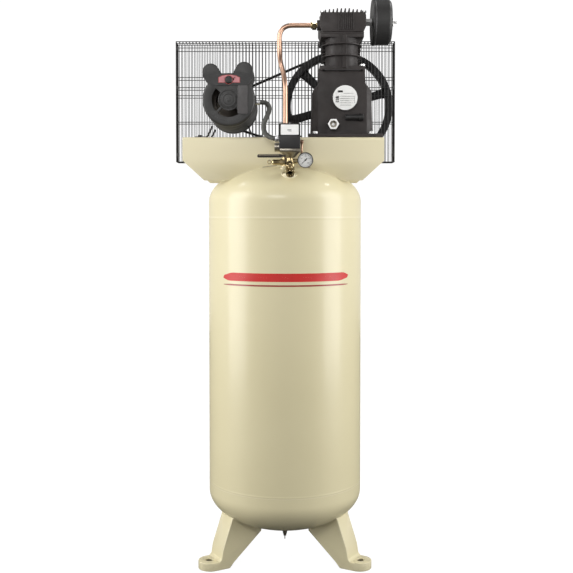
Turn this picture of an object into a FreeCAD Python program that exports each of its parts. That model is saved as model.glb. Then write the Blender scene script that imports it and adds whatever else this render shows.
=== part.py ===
import FreeCAD, Part
import math
import os

import Sketcher

# Vertical tank air compressor: a 60 gallon tank on three legs, with a motor, a belt-driven
# twin pump and a wire belt guard on a saddle plate above it.  Millimetres, +Z up, +X to the
# right and +Y to the back.  Everything is placed from the tank's axis at floor level, and the
# last step moves the whole machine so that the origin is under the middle of its footprint.

Vector = FreeCAD.Vector
Rotation = FreeCAD.Rotation

DRIVING_SIZES = [
    ("tank_radius", 254, "outside radius of the tank shell"),
    ("tank_wall", 4, "tank sheet"),
    ("seam_low", 257, "height of the lower weld seam"),
    ("seam_high", 1136, "height of the upper weld seam"),
    ("tangent_low", 226, "where the bottom head starts to curve"),
    ("tangent_high", 1188, "where the top head starts to curve"),
    ("head_depth", 127, "depth of each 2:1 head"),
    ("bead_proud", 1.6, "height of a weld bead"),
    ("leg_width", 80, "width of a leg"),
    ("leg_sheet", 5, "leg sheet"),
    ("foot_height", 26, "height of a foot pad"),
    ("foot_end_centre", 278, "radius at which a foot's rounded end starts"),
    ("foot_hole_circle", 283, "radius of the circle of foot holes"),
    ("foot_hole_radius", 11, "radius of a foot hole"),
    ("plate_left", 330, "reach of the saddle plate to the left"),
    ("plate_right", 320, "reach of the saddle plate to the right"),
    ("plate_half_depth", 122, "half the saddle plate's depth"),
    ("plate_top", 1395, "height of the saddle plate"),
    ("plate_bottom", 1255, "lower edge of its flanges, which stop where they meet the dome"),
    ("plate_sheet", 4, "saddle plate sheet"),
    ("plate_end_height", 76, "height of a flange at the plate's ends"),
    ("plate_chamfer", 70, "length of the sloping corner of a flange"),
    ("plate_bend", 12, "outside bend radius of the saddle plate"),
    ("pump_x", 187, "crankshaft axis across the machine"),
    ("crank_z", 1525, "height of the crankshaft axis"),
    ("crank_throw", 32, "half the stroke"),
    ("rod_length", 145, "connecting rod between its centres"),
    ("bore_radius", 38, "cylinder bore"),
    ("bore_spacing", 98, "distance between the two cylinders"),
    ("bores_middle_y", 13, "middle of the two cylinders"),
    ("case_top", 1613, "top of the crankcase"),
    ("deck_z", 1733, "top of the cylinder block"),
    ("head_z", 1738, "bottom of the cylinder head"),
    ("head_top", 1801, "top of the cylinder head under its fins"),
    ("shaft_radius", 12.5, "crankshaft nose"),
    ("motor_x", -178, "motor axis across the machine"),
    ("motor_z", 1509, "height of the motor axis"),
    ("motor_radius", 84, "motor shell"),
    ("motor_shaft_radius", 8, "motor shaft"),
    ("belt_y", 164, "plane of the belt"),
    ("belt_width", 13, "belt section, across"),
    ("belt_thick", 8, "belt section, in depth"),
    ("flywheel_radius", 191.5, "outside of the flywheel"),
    ("flywheel_width", 45, "rim width"),
    ("flywheel_rim", 24, "radial thickness of the rim"),
    ("flywheel_belt_radius", 189.5, "outside of the belt on the flywheel"),
    ("pulley_belt_radius", 59.5, "outside of the belt on the motor pulley"),
    ("guard_left", 380, "reach of the guard to the left"),
    ("guard_right", 383.5, "reach of the guard to the right"),
    ("guard_front", 128, "front panel of the guard"),
    ("guard_back", 200, "back of the guard"),
    ("guard_low", 1328, "bottom of the guard"),
    ("guard_high", 1748, "top of the guard"),
    ("guard_wire", 2.8, "guard wire"),
    ("guard_pitch", 11.6, "guard wire spacing"),
    ("filter_radius", 77, "air filter canister"),
    ("filter_left", 288.5, "left end of the canister"),
    ("filter_length", 64, "length of the canister"),
    ("filter_z", 1784, "height of the canister's axis"),
    ("discharge_radius", 7.95, "discharge tube"),
    ("conduit_radius", 8, "motor lead conduit"),
    ("centre_shift", -32, "tank axis to the middle of the footprint, front to back"),
]

FIT = 0.05
CLEAR = 0.3

document = FreeCAD.newDocument("vertical_tank_compressor")
sheet = document.addObject("Spreadsheet::Sheet", "sizes")


class Size:
    """A number that also carries the sheet expression that it comes from."""

    def __init__(self, value, text):
        self.value = float(value)
        self.text = text

    def __add__(self, other):
        other = as_size(other)
        return Size(self.value + other.value, f"({self.text} + {other.text})")

    def __sub__(self, other):
        other = as_size(other)
        return Size(self.value - other.value, f"({self.text} - {other.text})")

    def __mul__(self, other):
        other = as_size(other)
        return Size(self.value * other.value, f"({self.text} * {other.text})")

    def __truediv__(self, other):
        other = as_size(other)
        return Size(self.value / other.value, f"({self.text} / {other.text})")

    def __radd__(self, other):
        return as_size(other) + self

    def __rsub__(self, other):
        return as_size(other) - self

    def __rmul__(self, other):
        return as_size(other) * self

    def __neg__(self):
        return as_size(0) - self

    def __float__(self):
        return self.value


def as_size(number):
    if isinstance(number, Size):
        return number
    return Size(number, f"({float(number)!r})")


def fill_sheet():
    """Write each driving size into the sheet and return them by name."""
    found = {}
    for row, (alias, value, meaning) in enumerate(DRIVING_SIZES, start=1):
        sheet.set(f"A{row}", meaning)
        sheet.set(f"B{row}", str(value))
        sheet.setAlias(f"B{row}", alias)
        found[alias] = Size(value, f"sizes.{alias}")
    document.recompute()
    return found


size = fill_sheet()
nodes = []


# ---------------------------------------------------------------- building helpers

TURN_TO = {
    "z": Rotation(),
    "-z": Rotation(Vector(1, 0, 0), 180),
    "x": Rotation(Vector(0, 1, 0), 90),
    "-x": Rotation(Vector(0, 1, 0), -90),
    "y": Rotation(Vector(1, 0, 0), -90),
    "-y": Rotation(Vector(1, 0, 0), 90),
}


def facing(direction):
    """The rotation that turns +Z to a named axis or to a vector."""
    if isinstance(direction, str):
        return TURN_TO[direction]
    return Rotation(Vector(0, 0, 1), direction)


def place(piece, where, direction="z"):
    x, y, z = (float(value) for value in where)
    piece.Placement = FreeCAD.Placement(Vector(x, y, z), facing(direction))
    return piece


def bind(piece, **sizes):
    for name, value in sizes.items():
        piece.setExpression(name, as_size(value).text)


def box(name, corner, wide, deep, high):
    """A block from its low corner."""
    piece = document.addObject("Part::Box", name)
    bind(piece, Length=wide, Width=deep, Height=high)
    return place(piece, corner)


def block(name, middle, wide, deep, high):
    """A block from the middle of its bottom face."""
    x, y, z = middle
    return box(name, (x - wide / 2, y - deep / 2, z), wide, deep, high)


def cylinder(name, start, radius, length, direction="z"):
    piece = document.addObject("Part::Cylinder", name)
    bind(piece, Radius=radius, Height=length)
    return place(piece, start, direction)


def cone(name, start, first_radius, last_radius, length, direction="z"):
    piece = document.addObject("Part::Cone", name)
    bind(piece, Radius1=first_radius, Radius2=last_radius, Height=length)
    return place(piece, start, direction)


def hexagon(name, start, across_corners, length, direction="z"):
    piece = document.addObject("Part::Prism", name)
    piece.Polygon = 6
    bind(piece, Circumradius=across_corners / 2, Height=length)
    return place(piece, start, direction)


def ring(name, middle, path_radius, wire_radius, direction="z"):
    piece = document.addObject("Part::Torus", name)
    bind(piece, Radius1=path_radius, Radius2=wire_radius)
    return place(piece, middle, direction)


def cut(name, base, *tools):
    """The base less every tool."""
    tool = tools[0] if len(tools) == 1 else fuse(name + "_tools", *tools)
    piece = document.addObject("Part::Cut", name)
    piece.Base = base
    piece.Tool = tool
    return piece


def fuse(name, *shapes):
    piece = document.addObject("Part::MultiFuse", name)
    piece.Shapes = list(shapes)
    piece.Refine = False
    return piece


def common(name, *shapes):
    piece = document.addObject("Part::MultiCommon", name)
    piece.Shapes = list(shapes)
    return piece


def group(name, *shapes):
    """Several separate solids that share one node."""
    piece = document.addObject("Part::Compound", name)
    piece.Links = list(shapes)
    return piece


def free_shape(name, shape):
    """A shape that no parametric feature describes well."""
    piece = document.addObject("Part::Feature", name)
    piece.Shape = shape
    return piece


def outline(body, role, corners):
    """A closed outline with straight sides; each corner's two distances follow the sheet."""
    sketch = body.newObject("Sketcher::SketchObject", body.Name + "_outline")
    plane = next(item for item in body.Origin.OriginFeatures if item.Role == role)
    sketch.AttachmentSupport = (plane, "")
    sketch.MapMode = "FlatFace"
    points = [(as_size(across), as_size(up)) for across, up in corners]
    count = len(points)
    for index in range(count):
        ends = (points[index], points[(index + 1) % count])
        first, last = (Vector(float(across), float(up), 0) for across, up in ends)
        sketch.addGeometry(Part.LineSegment(first, last), False)
    for index in range(count):
        sketch.addConstraint(Sketcher.Constraint("Coincident", index, 2, (index + 1) % count, 1))
    for index, corner in enumerate(points):
        for kind, distance in zip(("DistanceX", "DistanceY"), corner):
            number = sketch.addConstraint(Sketcher.Constraint(kind, -1, 1, index, 1, float(distance)))
            sketch.setExpression(f"Constraints[{number}]", distance.text)
    return sketch


def turned(name, corners, start=(0, 0, 0), direction="z"):
    """A lathe-turned piece: corners are (radius, height), turned about the local Z axis."""
    body = document.addObject("PartDesign::Body", name)
    sketch = outline(body, "XZ_Plane", corners)
    revolution = body.newObject("PartDesign::Revolution", name + "_turned")
    revolution.Profile = sketch
    revolution.ReferenceAxis = (sketch, ["V_Axis"])
    revolution.Angle = 360
    return place(body, start, direction)


def padded(name, corners, length, start=(0, 0, 0), role="XZ_Plane"):
    """A prism of an upright outline, half of its length to each side of the start."""
    body = document.addObject("PartDesign::Body", name)
    sketch = outline(body, role, corners)
    pad = body.newObject("PartDesign::Pad", name + "_pad")
    pad.Profile = sketch
    pad.Midplane = True
    bind(pad, Length=length)
    return place(body, start)


def node(piece, label):
    """Names a finished piece; its label names its file."""
    piece.Label = label
    nodes.append(piece)
    return piece


def on_circle(radius, degrees):
    """A point on a circle in the upright XZ plane."""
    angle = math.radians(degrees)
    return radius * math.cos(angle), radius * math.sin(angle)


def tube_path(points, bend):
    """Straight runs joined by arcs of the bend radius, or less where a run is short."""
    points = [Vector(*(float(value) for value in point)) for point in points]
    edges = []
    last = points[0]
    for before, corner, after in zip(points, points[1:], points[2:]):
        to_corner = corner - before
        from_corner = after - corner
        half_turn = to_corner.getAngle(from_corner) / 2
        reach = min(0.45 * min(to_corner.Length, from_corner.Length), bend * math.tan(half_turn))
        to_corner.normalize()
        from_corner.normalize()
        entry = corner - to_corner * reach
        leave = corner + from_corner * reach
        radius = reach / math.tan(half_turn)
        inward = from_corner - to_corner
        inward.normalize()
        middle = corner + inward * (radius / math.cos(half_turn) - radius)
        edges.append(Part.LineSegment(last, entry).toShape())
        edges.append(Part.Arc(entry, middle, leave).toShape())
        last = leave
    edges.append(Part.LineSegment(last, points[-1]).toShape())
    return Part.Wire(edges)


def tube(name, points, radius, bend, wall=0):
    """A round tube along a route."""
    path = tube_path(points, bend)
    start = path.Vertexes[0].Point
    heading = path.Edges[0].tangentAt(path.Edges[0].FirstParameter)

    def swept(section_radius):
        section = Part.Wire(Part.makeCircle(section_radius, start, heading))
        return path.makePipeShell([section], True, False)

    shape = swept(float(radius))
    if wall:
        shape = shape.cut(swept(float(radius) - wall))
    return free_shape(name, shape)


# ---------------------------------------------------------------- tank and legs

def half_ellipsoid(name, tangent, depth, radius, upward):
    piece = document.addObject("Part::Ellipsoid", name)
    bind(piece, Radius1=depth, Radius2=radius, Radius3=radius)
    piece.Angle1 = 0 if upward else -90
    piece.Angle2 = 90 if upward else 0
    return place(piece, (0, 0, tangent))


def head_form(name, tangent, seam, offset, upward):
    """A head's solid form, smaller than the outside by the offset."""
    radius = size["tank_radius"] - offset
    dome = half_ellipsoid(name + "_dome", tangent, size["head_depth"] - offset, radius, upward)
    low, high = (seam, tangent) if upward else (tangent, seam)
    skirt = cylinder(name + "_skirt", (0, 0, low), radius, high - low)
    return fuse(name, dome, skirt)


OUTLET = (13, -187)
CHECK = (1, -141)
OUTLET_WAY = Vector(0, -0.839, -0.545)
OUTLET_STEM = Vector(0, -0.545, 0.839)


def make_tank():
    radius = size["tank_radius"]
    inner = radius - size["tank_wall"]
    proud = radius + size["bead_proud"]
    low = size["seam_low"]
    high = size["seam_high"]
    shell = turned("shell", [
        (inner, low), (radius, low), (proud, low + 2), (proud, low + 7), (radius, low + 9),
        (radius, high - 9), (proud, high - 7), (proud, high - 2), (radius, high), (inner, high),
    ])
    node(shell, "tank_shell")
    outlet_x, outlet_y = OUTLET
    check_x, check_y = CHECK
    top = cut(
        "top_head",
        head_form("top_outside", size["tangent_high"], size["seam_high"], 0, True),
        head_form("top_inside", size["tangent_high"], size["seam_high"], size["tank_wall"], True),
        cylinder("outlet_port", (outlet_x, outlet_y, 1200), 10, 120),
        cylinder("check_port", (check_x, check_y, 1200), 7, 120),
    )
    node(top, "tank_top_head")
    bottom = cut(
        "bottom_head",
        head_form("bottom_outside", size["tangent_low"], size["seam_low"], 0, False),
        head_form("bottom_inside", size["tangent_low"], size["seam_low"], size["tank_wall"], False),
        cylinder("drain_port", (0, 0, 80), 6, 60),
    )
    node(bottom, "tank_bottom_head")

    def boss(name, x, y, radius, bore, start, end):
        return cut(
            name,
            cylinder(name + "_body", (x, y, start), radius, end - start),
            cylinder(name + "_bore", (x, y, start - 1), bore, end - start + 2),
        )

    upper = cut(
        "upper_bosses",
        fuse(
            "upper_boss_pair",
            boss("outlet_boss", outlet_x, outlet_y, 22, 10, 1225, 1274),
            boss("check_boss", check_x, check_y, 13, 7, 1265, 1300),
        ),
        head_form("under_bosses", size["tangent_high"], size["seam_high"], 0, True),
    )
    lower = cut(
        "lower_boss",
        boss("drain_boss", 0, 0, 14, 6, 90, 115),
        head_form("over_boss", size["tangent_low"], size["seam_low"], 0, False),
    )
    node(group("bosses", upper, lower), "tank_bosses")


def make_leg(label, degrees):
    """A pressed leg: a sloping strip with two side webs, open towards the tank's axis."""
    sheet_thick = size["leg_sheet"]
    width = size["leg_width"]
    top = size["foot_height"]
    reach = size["foot_end_centre"] + width / 2
    outside = padded(label + "_outside", [
        (112, 175), (112, 104), (212, 18), (228, 0), (reach, 0), (reach, top),
        (265, top), (257, top + 8), (252, 64), (225, 141), (213, 175),
    ], width)
    inside = padded(label + "_inside", [
        (100, 180), (100, -5), (reach - sheet_thick, -5), (reach - sheet_thick, top - sheet_thick),
        (262, top - sheet_thick), (252.3, top + 5), (246.7, 63), (219.8, 140), (206, 180),
    ], width - 2 * sheet_thick)

    def rounded_end(name, half_width):
        body = box(name + "_bar", (0, -half_width, -10), size["foot_end_centre"], 2 * half_width, 240)
        end = cylinder(name + "_end", (size["foot_end_centre"], 0, -10), half_width, 240)
        return fuse(name, body, end)

    pressed = cut(
        label + "_pressed",
        common(label + "_form", outside, rounded_end(label + "_plan", width / 2)),
        common(label + "_hollow", inside, rounded_end(label + "_hollow_plan", width / 2 - sheet_thick)),
        cylinder(label + "_hole", (size["foot_hole_circle"], 0, -10), size["foot_hole_radius"], 60),
        head_form(label + "_tank", size["tangent_low"], size["seam_low"], 0, False),
    )
    pressed.Placement = FreeCAD.Placement(Vector(), Rotation(Vector(0, 0, 1), degrees))
    node(pressed, label)


def make_drain():
    """The drain cock under the tank, with a wing key that turns."""
    body = cut(
        "drain_body",
        fuse(
            "drain_solid",
            cylinder("drain_neck", (0, 0, 80), 5.8, 14),
            hexagon("drain_hex", (0, 0, 72), 20, 8),
            cylinder("drain_barrel", (0, 0, 64), 7, 8),
        ),
        cylinder("drain_seat", (0, 0, 56), 3, 20),
    )
    node(body, "drain_valve_body")
    key = fuse(
        "drain_key_solid",
        cylinder("drain_stem", (0, 0, 57), 3 - FIT, 16),
        cylinder("drain_collar", (0, 0, 57), 5, 6.5),
        block("drain_wing", (0, 0, 48), 3, 26, 10),
    )
    node(key, "drain_valve_key")


# ---------------------------------------------------------------- saddle plate

def make_top_plate():
    left = size["plate_left"]
    right = size["plate_right"]
    half = size["plate_half_depth"]
    top = size["plate_top"]
    bend = size["plate_bend"]
    thick = size["plate_sheet"]
    low = size["plate_bottom"]
    long = left + right

    def rail(name, inset, radius):
        """A solid bar with its two long upper edges rounded."""
        deep = 2 * (half - inset)
        lower = box(name + "_low", (-left, inset - half, low), long, deep, top - bend - low)
        upper_deep = 2 * (half - bend)
        upper = box(name + "_up", (-left, bend - half, low), long, upper_deep, top - inset - low)
        rounds = [
            cylinder(f"{name}_bend_{side}", (-left, side * (half - bend), top - bend), radius, long, "x")
            for side in (-1, 1)
        ]
        return fuse(name, lower, upper, *rounds)

    end_low = top - size["plate_end_height"]
    chamfer = size["plate_chamfer"]
    profile = padded("plate_profile", [
        (-left, top + 5), (-left, end_low), (chamfer - left, low), (right - chamfer, low),
        (right, end_low), (right, top + 5),
    ], 2 * half + 20)
    saddle = cut(
        "saddle",
        common("saddle_outside", rail("plate_outer", 0, bend), profile),
        rail("plate_inner", thick, bend - thick),
        head_form("plate_dome", size["tangent_high"], size["seam_high"], -0.6, True),
    )
    node(saddle, "top_plate")


# ---------------------------------------------------------------- pump

PUMP_Y_FRONT = -85
FOOT_BOLTS = [(across, y) for across in (98, 280) for y in (-99, 113)]
PUMP_Y_BACK = 104


def bore_places():
    middle = size["bores_middle_y"]
    half = size["bore_spacing"] / 2
    return {"front": middle - half, "rear": middle + half}


def make_crankcase():
    x = size["pump_x"]
    z = size["crank_z"]
    floor = size["plate_top"]
    top = size["case_top"]
    depth = PUMP_Y_BACK - PUMP_Y_FRONT
    middle = (PUMP_Y_BACK + PUMP_Y_FRONT) / 2
    outside = common(
        "case_outside",
        padded("case_front_view", [
            (-100, 10), (100, 10), (96, 155), (76, 176), (74, top - floor),
            (-74, top - floor), (-76, 176), (-96, 155),
        ], depth, (x, middle, floor)),
        padded("case_plan_view", [
            (-102, 18 - depth / 2), (-80, -depth / 2), (80, -depth / 2), (102, 18 - depth / 2),
            (102, depth / 2), (-102, depth / 2),
        ], 600, (x, middle, 1500), "XY_Plane"),
    )
    flange = block("case_flange", (197, 4, floor), 242, 232, 12)
    boss = cylinder("case_front_boss", (x, PUMP_Y_FRONT - 4, z), 30, 14, "y")
    inside = padded("case_inside", [
        (-88, 18), (88, 18), (85, 150), (64, 176), (64, 192), (-64, 192), (-64, 176), (-85, 150),
    ], depth - 20, (x, middle, floor))
    sight_x, sight_z = 157.3, 1438
    case = cut(
        "case",
        fuse("case_solid", outside, flange, boss),
        inside,
        cylinder("case_throat", (x, bore_places()["front"], z), size["bore_radius"] + 2, 120),
        cylinder("case_throat_rear", (x, bore_places()["rear"], z), size["bore_radius"] + 2, 120),
        cylinder("case_rear_opening", (x, 90, z), 66, 40, "y"),
        cylinder("case_bearing_seat", (x, -82, z), 20, 14, "y"),
        cylinder("case_sight_hole", (sight_x, -100, sight_z), 9, 30, "y"),
        *[
            cylinder(f"case_foot_hole_{across}_{y}", (across, y, floor - 5), 5, 30)
            for across, y in FOOT_BOLTS
        ],
    )
    node(case, "crankcase")

    carrier = turned("carrier", [
        (25, 0), (25, 16), (15, 16), (15, 26), (26, 26), (30, 12), (76, 12), (76, 2), (65.9, 2),
        (65.9, -10), (32, -10), (32, -12), (25, -12),
    ], (x, PUMP_Y_BACK - 2, z), "y")
    node(carrier, "bearing_carrier")

    label = cylinder("case_label", (196, PUMP_Y_FRONT - 5.2, z), 40, 1.2, "y")
    node(label, "crankcase_label")
    glass = cut(
        "sight_glass_solid",
        fuse(
            "sight_glass_form",
            hexagon("sight_hex", (sight_x, PUMP_Y_FRONT - 7, sight_z), 37, 7, "y"),
            cylinder("sight_neck", (sight_x, PUMP_Y_FRONT - 1, sight_z), 9, 9, "y"),
        ),
        cylinder("sight_window", (sight_x, PUMP_Y_FRONT - 8, sight_z), 11, 3, "y"),
    )
    node(glass, "sight_glass")
    filler = cut(
        "oil_filler",
        fuse(
            "oil_filler_form",
            cylinder("oil_filler_neck", (196, PUMP_Y_FRONT - 5, 1461), 9.5, 48, "x"),
            cylinder("oil_filler_cap", (240, PUMP_Y_FRONT - 5, 1461), 12, 15, "x"),
        ),
        block("oil_filler_seat", (220, PUMP_Y_FRONT + 20, 1440), 120, 40, 50),
    )
    node(filler, "oil_fill_plug")


def make_cylinders():
    x = size["pump_x"]
    top = size["case_top"]
    deck = size["deck_z"]
    radius = 53
    places = bore_places()

    def barrel(name, size_up, low, high):
        """Both barrels as one casting: two rounds and the block between them."""
        rounds = [
            cylinder(f"{name}_{key}", (x, y, low), size_up, high - low)
            for key, y in places.items()
        ]
        between = block(name + "_between", (x, size["bores_middle_y"], low),
                        2 * size_up, size["bore_spacing"], high - low)
        return fuse(name, *rounds, between)

    fins = [
        barrel(f"long_fin_{height}", 66, height, height + 4) for height in (1661, 1698)
    ] + [
        block(f"side_fin_{height}", (x, size["bores_middle_y"], height), 2 * reach,
              size["bore_spacing"], 4)
        for height, reach in ((1637, 60), (1649, 62), (1674, 62), (1686, 64), (1710, 62))
    ] + [
        block("barrel_rib", (x + 7, -80, top + 10), 12, 24, deck - top - 15),
        padded("deck_gusset", [(40, 0), (40, 36), (69, 36)], 150,
               (x, size["bores_middle_y"], deck - 44)),
    ]
    foot = block("block_foot", (x, size["bores_middle_y"], top), 148, 196, 16)
    lid = block("block_deck", (x, size["bores_middle_y"], deck - 12), 140, 200, 12)
    block_piece = cut(
        "cylinder_casting",
        fuse("cylinder_form", barrel("barrel", radius, top, deck), foot, lid, *fins),
        *[
            cylinder(f"bore_{key}", (x, y, top - 5), size["bore_radius"], deck - top + 10)
            for key, y in places.items()
        ],
    )
    node(block_piece, "cylinder_block")


def make_head():
    x = size["pump_x"]
    middle = size["bores_middle_y"]
    low = size["head_z"]
    top = size["head_top"]
    deck = size["deck_z"]
    places = bore_places()
    plate = cut(
        "valve_plate_solid",
        block("valve_plate_form", (x, middle, deck), 140, 200, low - deck),
        *[
            cylinder(f"valve_port_{key}_{offset}", (x + offset, y, deck - 1), 7, low - deck + 2)
            for key, y in places.items() for offset in (-18, 18)
        ],
    )
    node(plate, "valve_plate")

    lobe = padded("head_lobes", [
        (-66, 0), (66, 0), (74.5, 18), (74.5, 52), (72, top - low), (-72, top - low),
        (-74.5, 52), (-74.5, 18),
    ], 208, (x + 2, middle, low))
    wells = [
        block(f"head_room_{side}", (x + side * 34, middle, low - 1), 56, 180, top - low - 9)
        for side in (-1, 1)
    ]
    fins = []
    for number in range(10):
        across = (number - 4.5) * 12.9
        height = 16 if abs(number - 4.5) < 2 else 13
        height = 11 if abs(number - 4.5) > 4 else height
        fins.append(block(f"head_fin_{number}", (x + 3 + across, middle, top - 2), 4.2, 196, height))
    intake_port = cylinder("intake_port", (x + 50, -10, size["filter_z"]), 9, 60, "x")
    outlet_port = cylinder("outlet_side_port", (x - 50, -60, 1764), 9, 60, "-x")
    head = cut(
        "head_casting",
        fuse("head_form", lobe, *fins, cylinder("head_boss", (x - 70, -60, 1764), 17, 12, "-x")),
        *wells, intake_port, outlet_port,
    )
    node(head, "cylinder_head")


def bolt(name, place_at, across=19, high=8, shank=5, below=10):
    """A hexagon bolt: the head stands on the given point."""
    x, y, z = place_at
    return fuse(
        name,
        hexagon(name + "_hex", (x, y, z), across, high),
        cylinder(name + "_shank", (x, y, z - below), shank, below + 1),
    )


def make_pump_bolts():
    floor = float(size["plate_top"])
    deck = float(size["case_top"]) + 16
    bolts = [
        bolt(f"foot_bolt_{across}_{y}", (across, y, floor + 12), across=17, below=11.5, shank=4.9)
        for across, y in FOOT_BOLTS
    ]
    bolts += [
        bolt(f"cylinder_bolt_{across}_{y}", (187 + across, y, deck), across=16, below=0, high=7)
        for across in (-66, 66) for y in (-70, 96)
    ]
    bolts += [
        bolt(f"head_bolt_{across}_{y}", (across, y, float(size["head_top"])), across=14, below=0, high=7)
        for across in (121.5, 258) for y in (-76, 13, 102)
    ]
    node(group("pump_bolt_set", *bolts), "pump_bolts")


def make_crank():
    """The crankshaft's webs and journals; each crankpin stays in its rod's big end."""
    x = size["pump_x"]
    z = size["crank_z"]
    places = bore_places()
    front = float(places["front"])
    rear = float(places["rear"])
    half_pin = 13
    web = 12
    shaft = [
        cylinder("nose_journal", (x, -80, z), 10, front - half_pin - web + 80, "y"),
        cylinder("web_a", (x, front - half_pin - web, z), 50, web, "y"),
        cylinder("web_b", (x, front + half_pin, z), 50, web, "y"),
        cylinder("middle_journal", (x, front + half_pin, z), 17, rear - front - 2 * half_pin, "y"),
        cylinder("web_c", (x, rear - half_pin - web, z), 50, web, "y"),
        cylinder("web_d", (x, rear + half_pin, z), 50, web, "y"),
        cylinder("rear_journal", (x, rear + half_pin, z), size["shaft_radius"], 187 - rear - half_pin, "y"),
    ]
    node(group(
        "crankshaft_set",
        fuse("crank_front", *shaft[0:2]),
        fuse("crank_middle", *shaft[2:5]),
        fuse("crank_rear", *shaft[5:7]),
    ), "crankshaft")

    throw = float(size["crank_throw"])
    length = float(size["rod_length"])
    drop = math.sqrt(length ** 2 - throw ** 2)
    pin_z = z + drop
    for key, side in (("front", 1), ("rear", -1)):
        y = places[key]
        crown = 30
        piston = cut(
            f"piston_{key}_solid",
            cylinder(f"piston_{key}_form", (x, y, pin_z - 26), size["bore_radius"] - FIT, 26 + crown),
            cylinder(f"piston_{key}_hollow", (x, y, pin_z - 27), size["bore_radius"] - 5, 20 + crown),
            cylinder(f"piston_{key}_pin_hole", (x, y - 50, pin_z), 8, 100, "y"),
        )
        bosses = cut(
            f"piston_{key}_bosses",
            common(
                f"piston_{key}_boss_form",
                cylinder(f"piston_{key}_boss_bar", (x, y - 40, pin_z), 13, 80, "y"),
                cylinder(f"piston_{key}_boss_limit", (x, y, pin_z - 30), size["bore_radius"] - 4, 60),
            ),
            block(f"piston_{key}_boss_gap", (x, y, pin_z - 30), 80, 24, 60),
            cylinder(f"piston_{key}_boss_hole", (x, y - 50, pin_z), 8, 100, "y"),
        )
        node(fuse(f"piston_{key}_whole", piston, bosses), f"piston_{key}")
        node(cylinder(f"pin_{key}", (x, y - 36, pin_z), 8, 72, "y"), f"wrist_pin_{key}")
        crank_x = x + side * throw
        lean = math.degrees(math.asin(side * throw / length))
        shank = block(f"rod_{key}_shank", (0, 0, -length), 14, 12, length)
        shank.Placement = FreeCAD.Placement(
            Vector(float(x), float(y), float(pin_z)), Rotation(Vector(0, 1, 0), -lean)
        ).multiply(shank.Placement)
        rod = cut(
            f"rod_{key}_solid",
            fuse(
                f"rod_{key}_form",
                shank,
                cylinder(f"rod_{key}_small_end", (x, y - 11, pin_z), 13, 22, "y"),
                cylinder(f"rod_{key}_big_end", (crank_x, y - 11, z), 24, 22, "y"),
            ),
            cylinder(f"rod_{key}_small_hole", (x, y - 20, pin_z), 8 + FIT, 40, "y"),
        )
        pin = cylinder(f"crankpin_{key}", (crank_x, y - 12.7, z), 15, 25.4, "y")
        node(fuse(f"rod_{key}_with_pin", rod, pin), f"connecting_rod_{key}")


def make_filter():
    z = size["filter_z"]
    left = size["filter_left"]
    radius = size["filter_radius"]
    long = size["filter_length"]
    y = -10
    can = turned("filter_can", [
        (13, 0), (radius - 6, 0), (radius, 4), (radius, 8), (radius - 2, 10), (radius - 2, long - 8),
        (radius - 8, long), (5, long), (5, long - 2), (radius - 9, long - 2), (radius - 4, long - 9),
        (radius - 4, 9), (radius - 2, 7), (radius - 7, 2), (13, 2),
    ], (left, y, z), "x")
    node(can, "filter_housing")
    element = turned("filter_paper", [
        (38, 4), (62, 4), (62, long - 6), (38, long - 6),
    ], (left, y, z), "x")
    node(element, "filter_element")
    nipple = cut(
        "nipple_solid",
        fuse(
            "nipple_form",
            cylinder("nipple_pipe", (254, y, z), 9, 52, "x"),
            hexagon("nipple_hex", (264.5, y, z), 26, 23, "x"),
        ),
        cylinder("nipple_bore", (250, y, z), 6, 54, "x"),
    )
    stud = fuse(
        "stud_form",
        cylinder("stud_rod", (310, y, z), 4, 62, "x"),
        cylinder("wing_hub", (left + long + 0.1, y, z), 7, 6, "x"),
        block("wing_blade", (left + long + 3.5, y, z - 13), 3, 6, 26),
    )
    node(group("filter_fitting_set", nipple, stud), "filter_fittings")


# ---------------------------------------------------------------- motor

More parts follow.
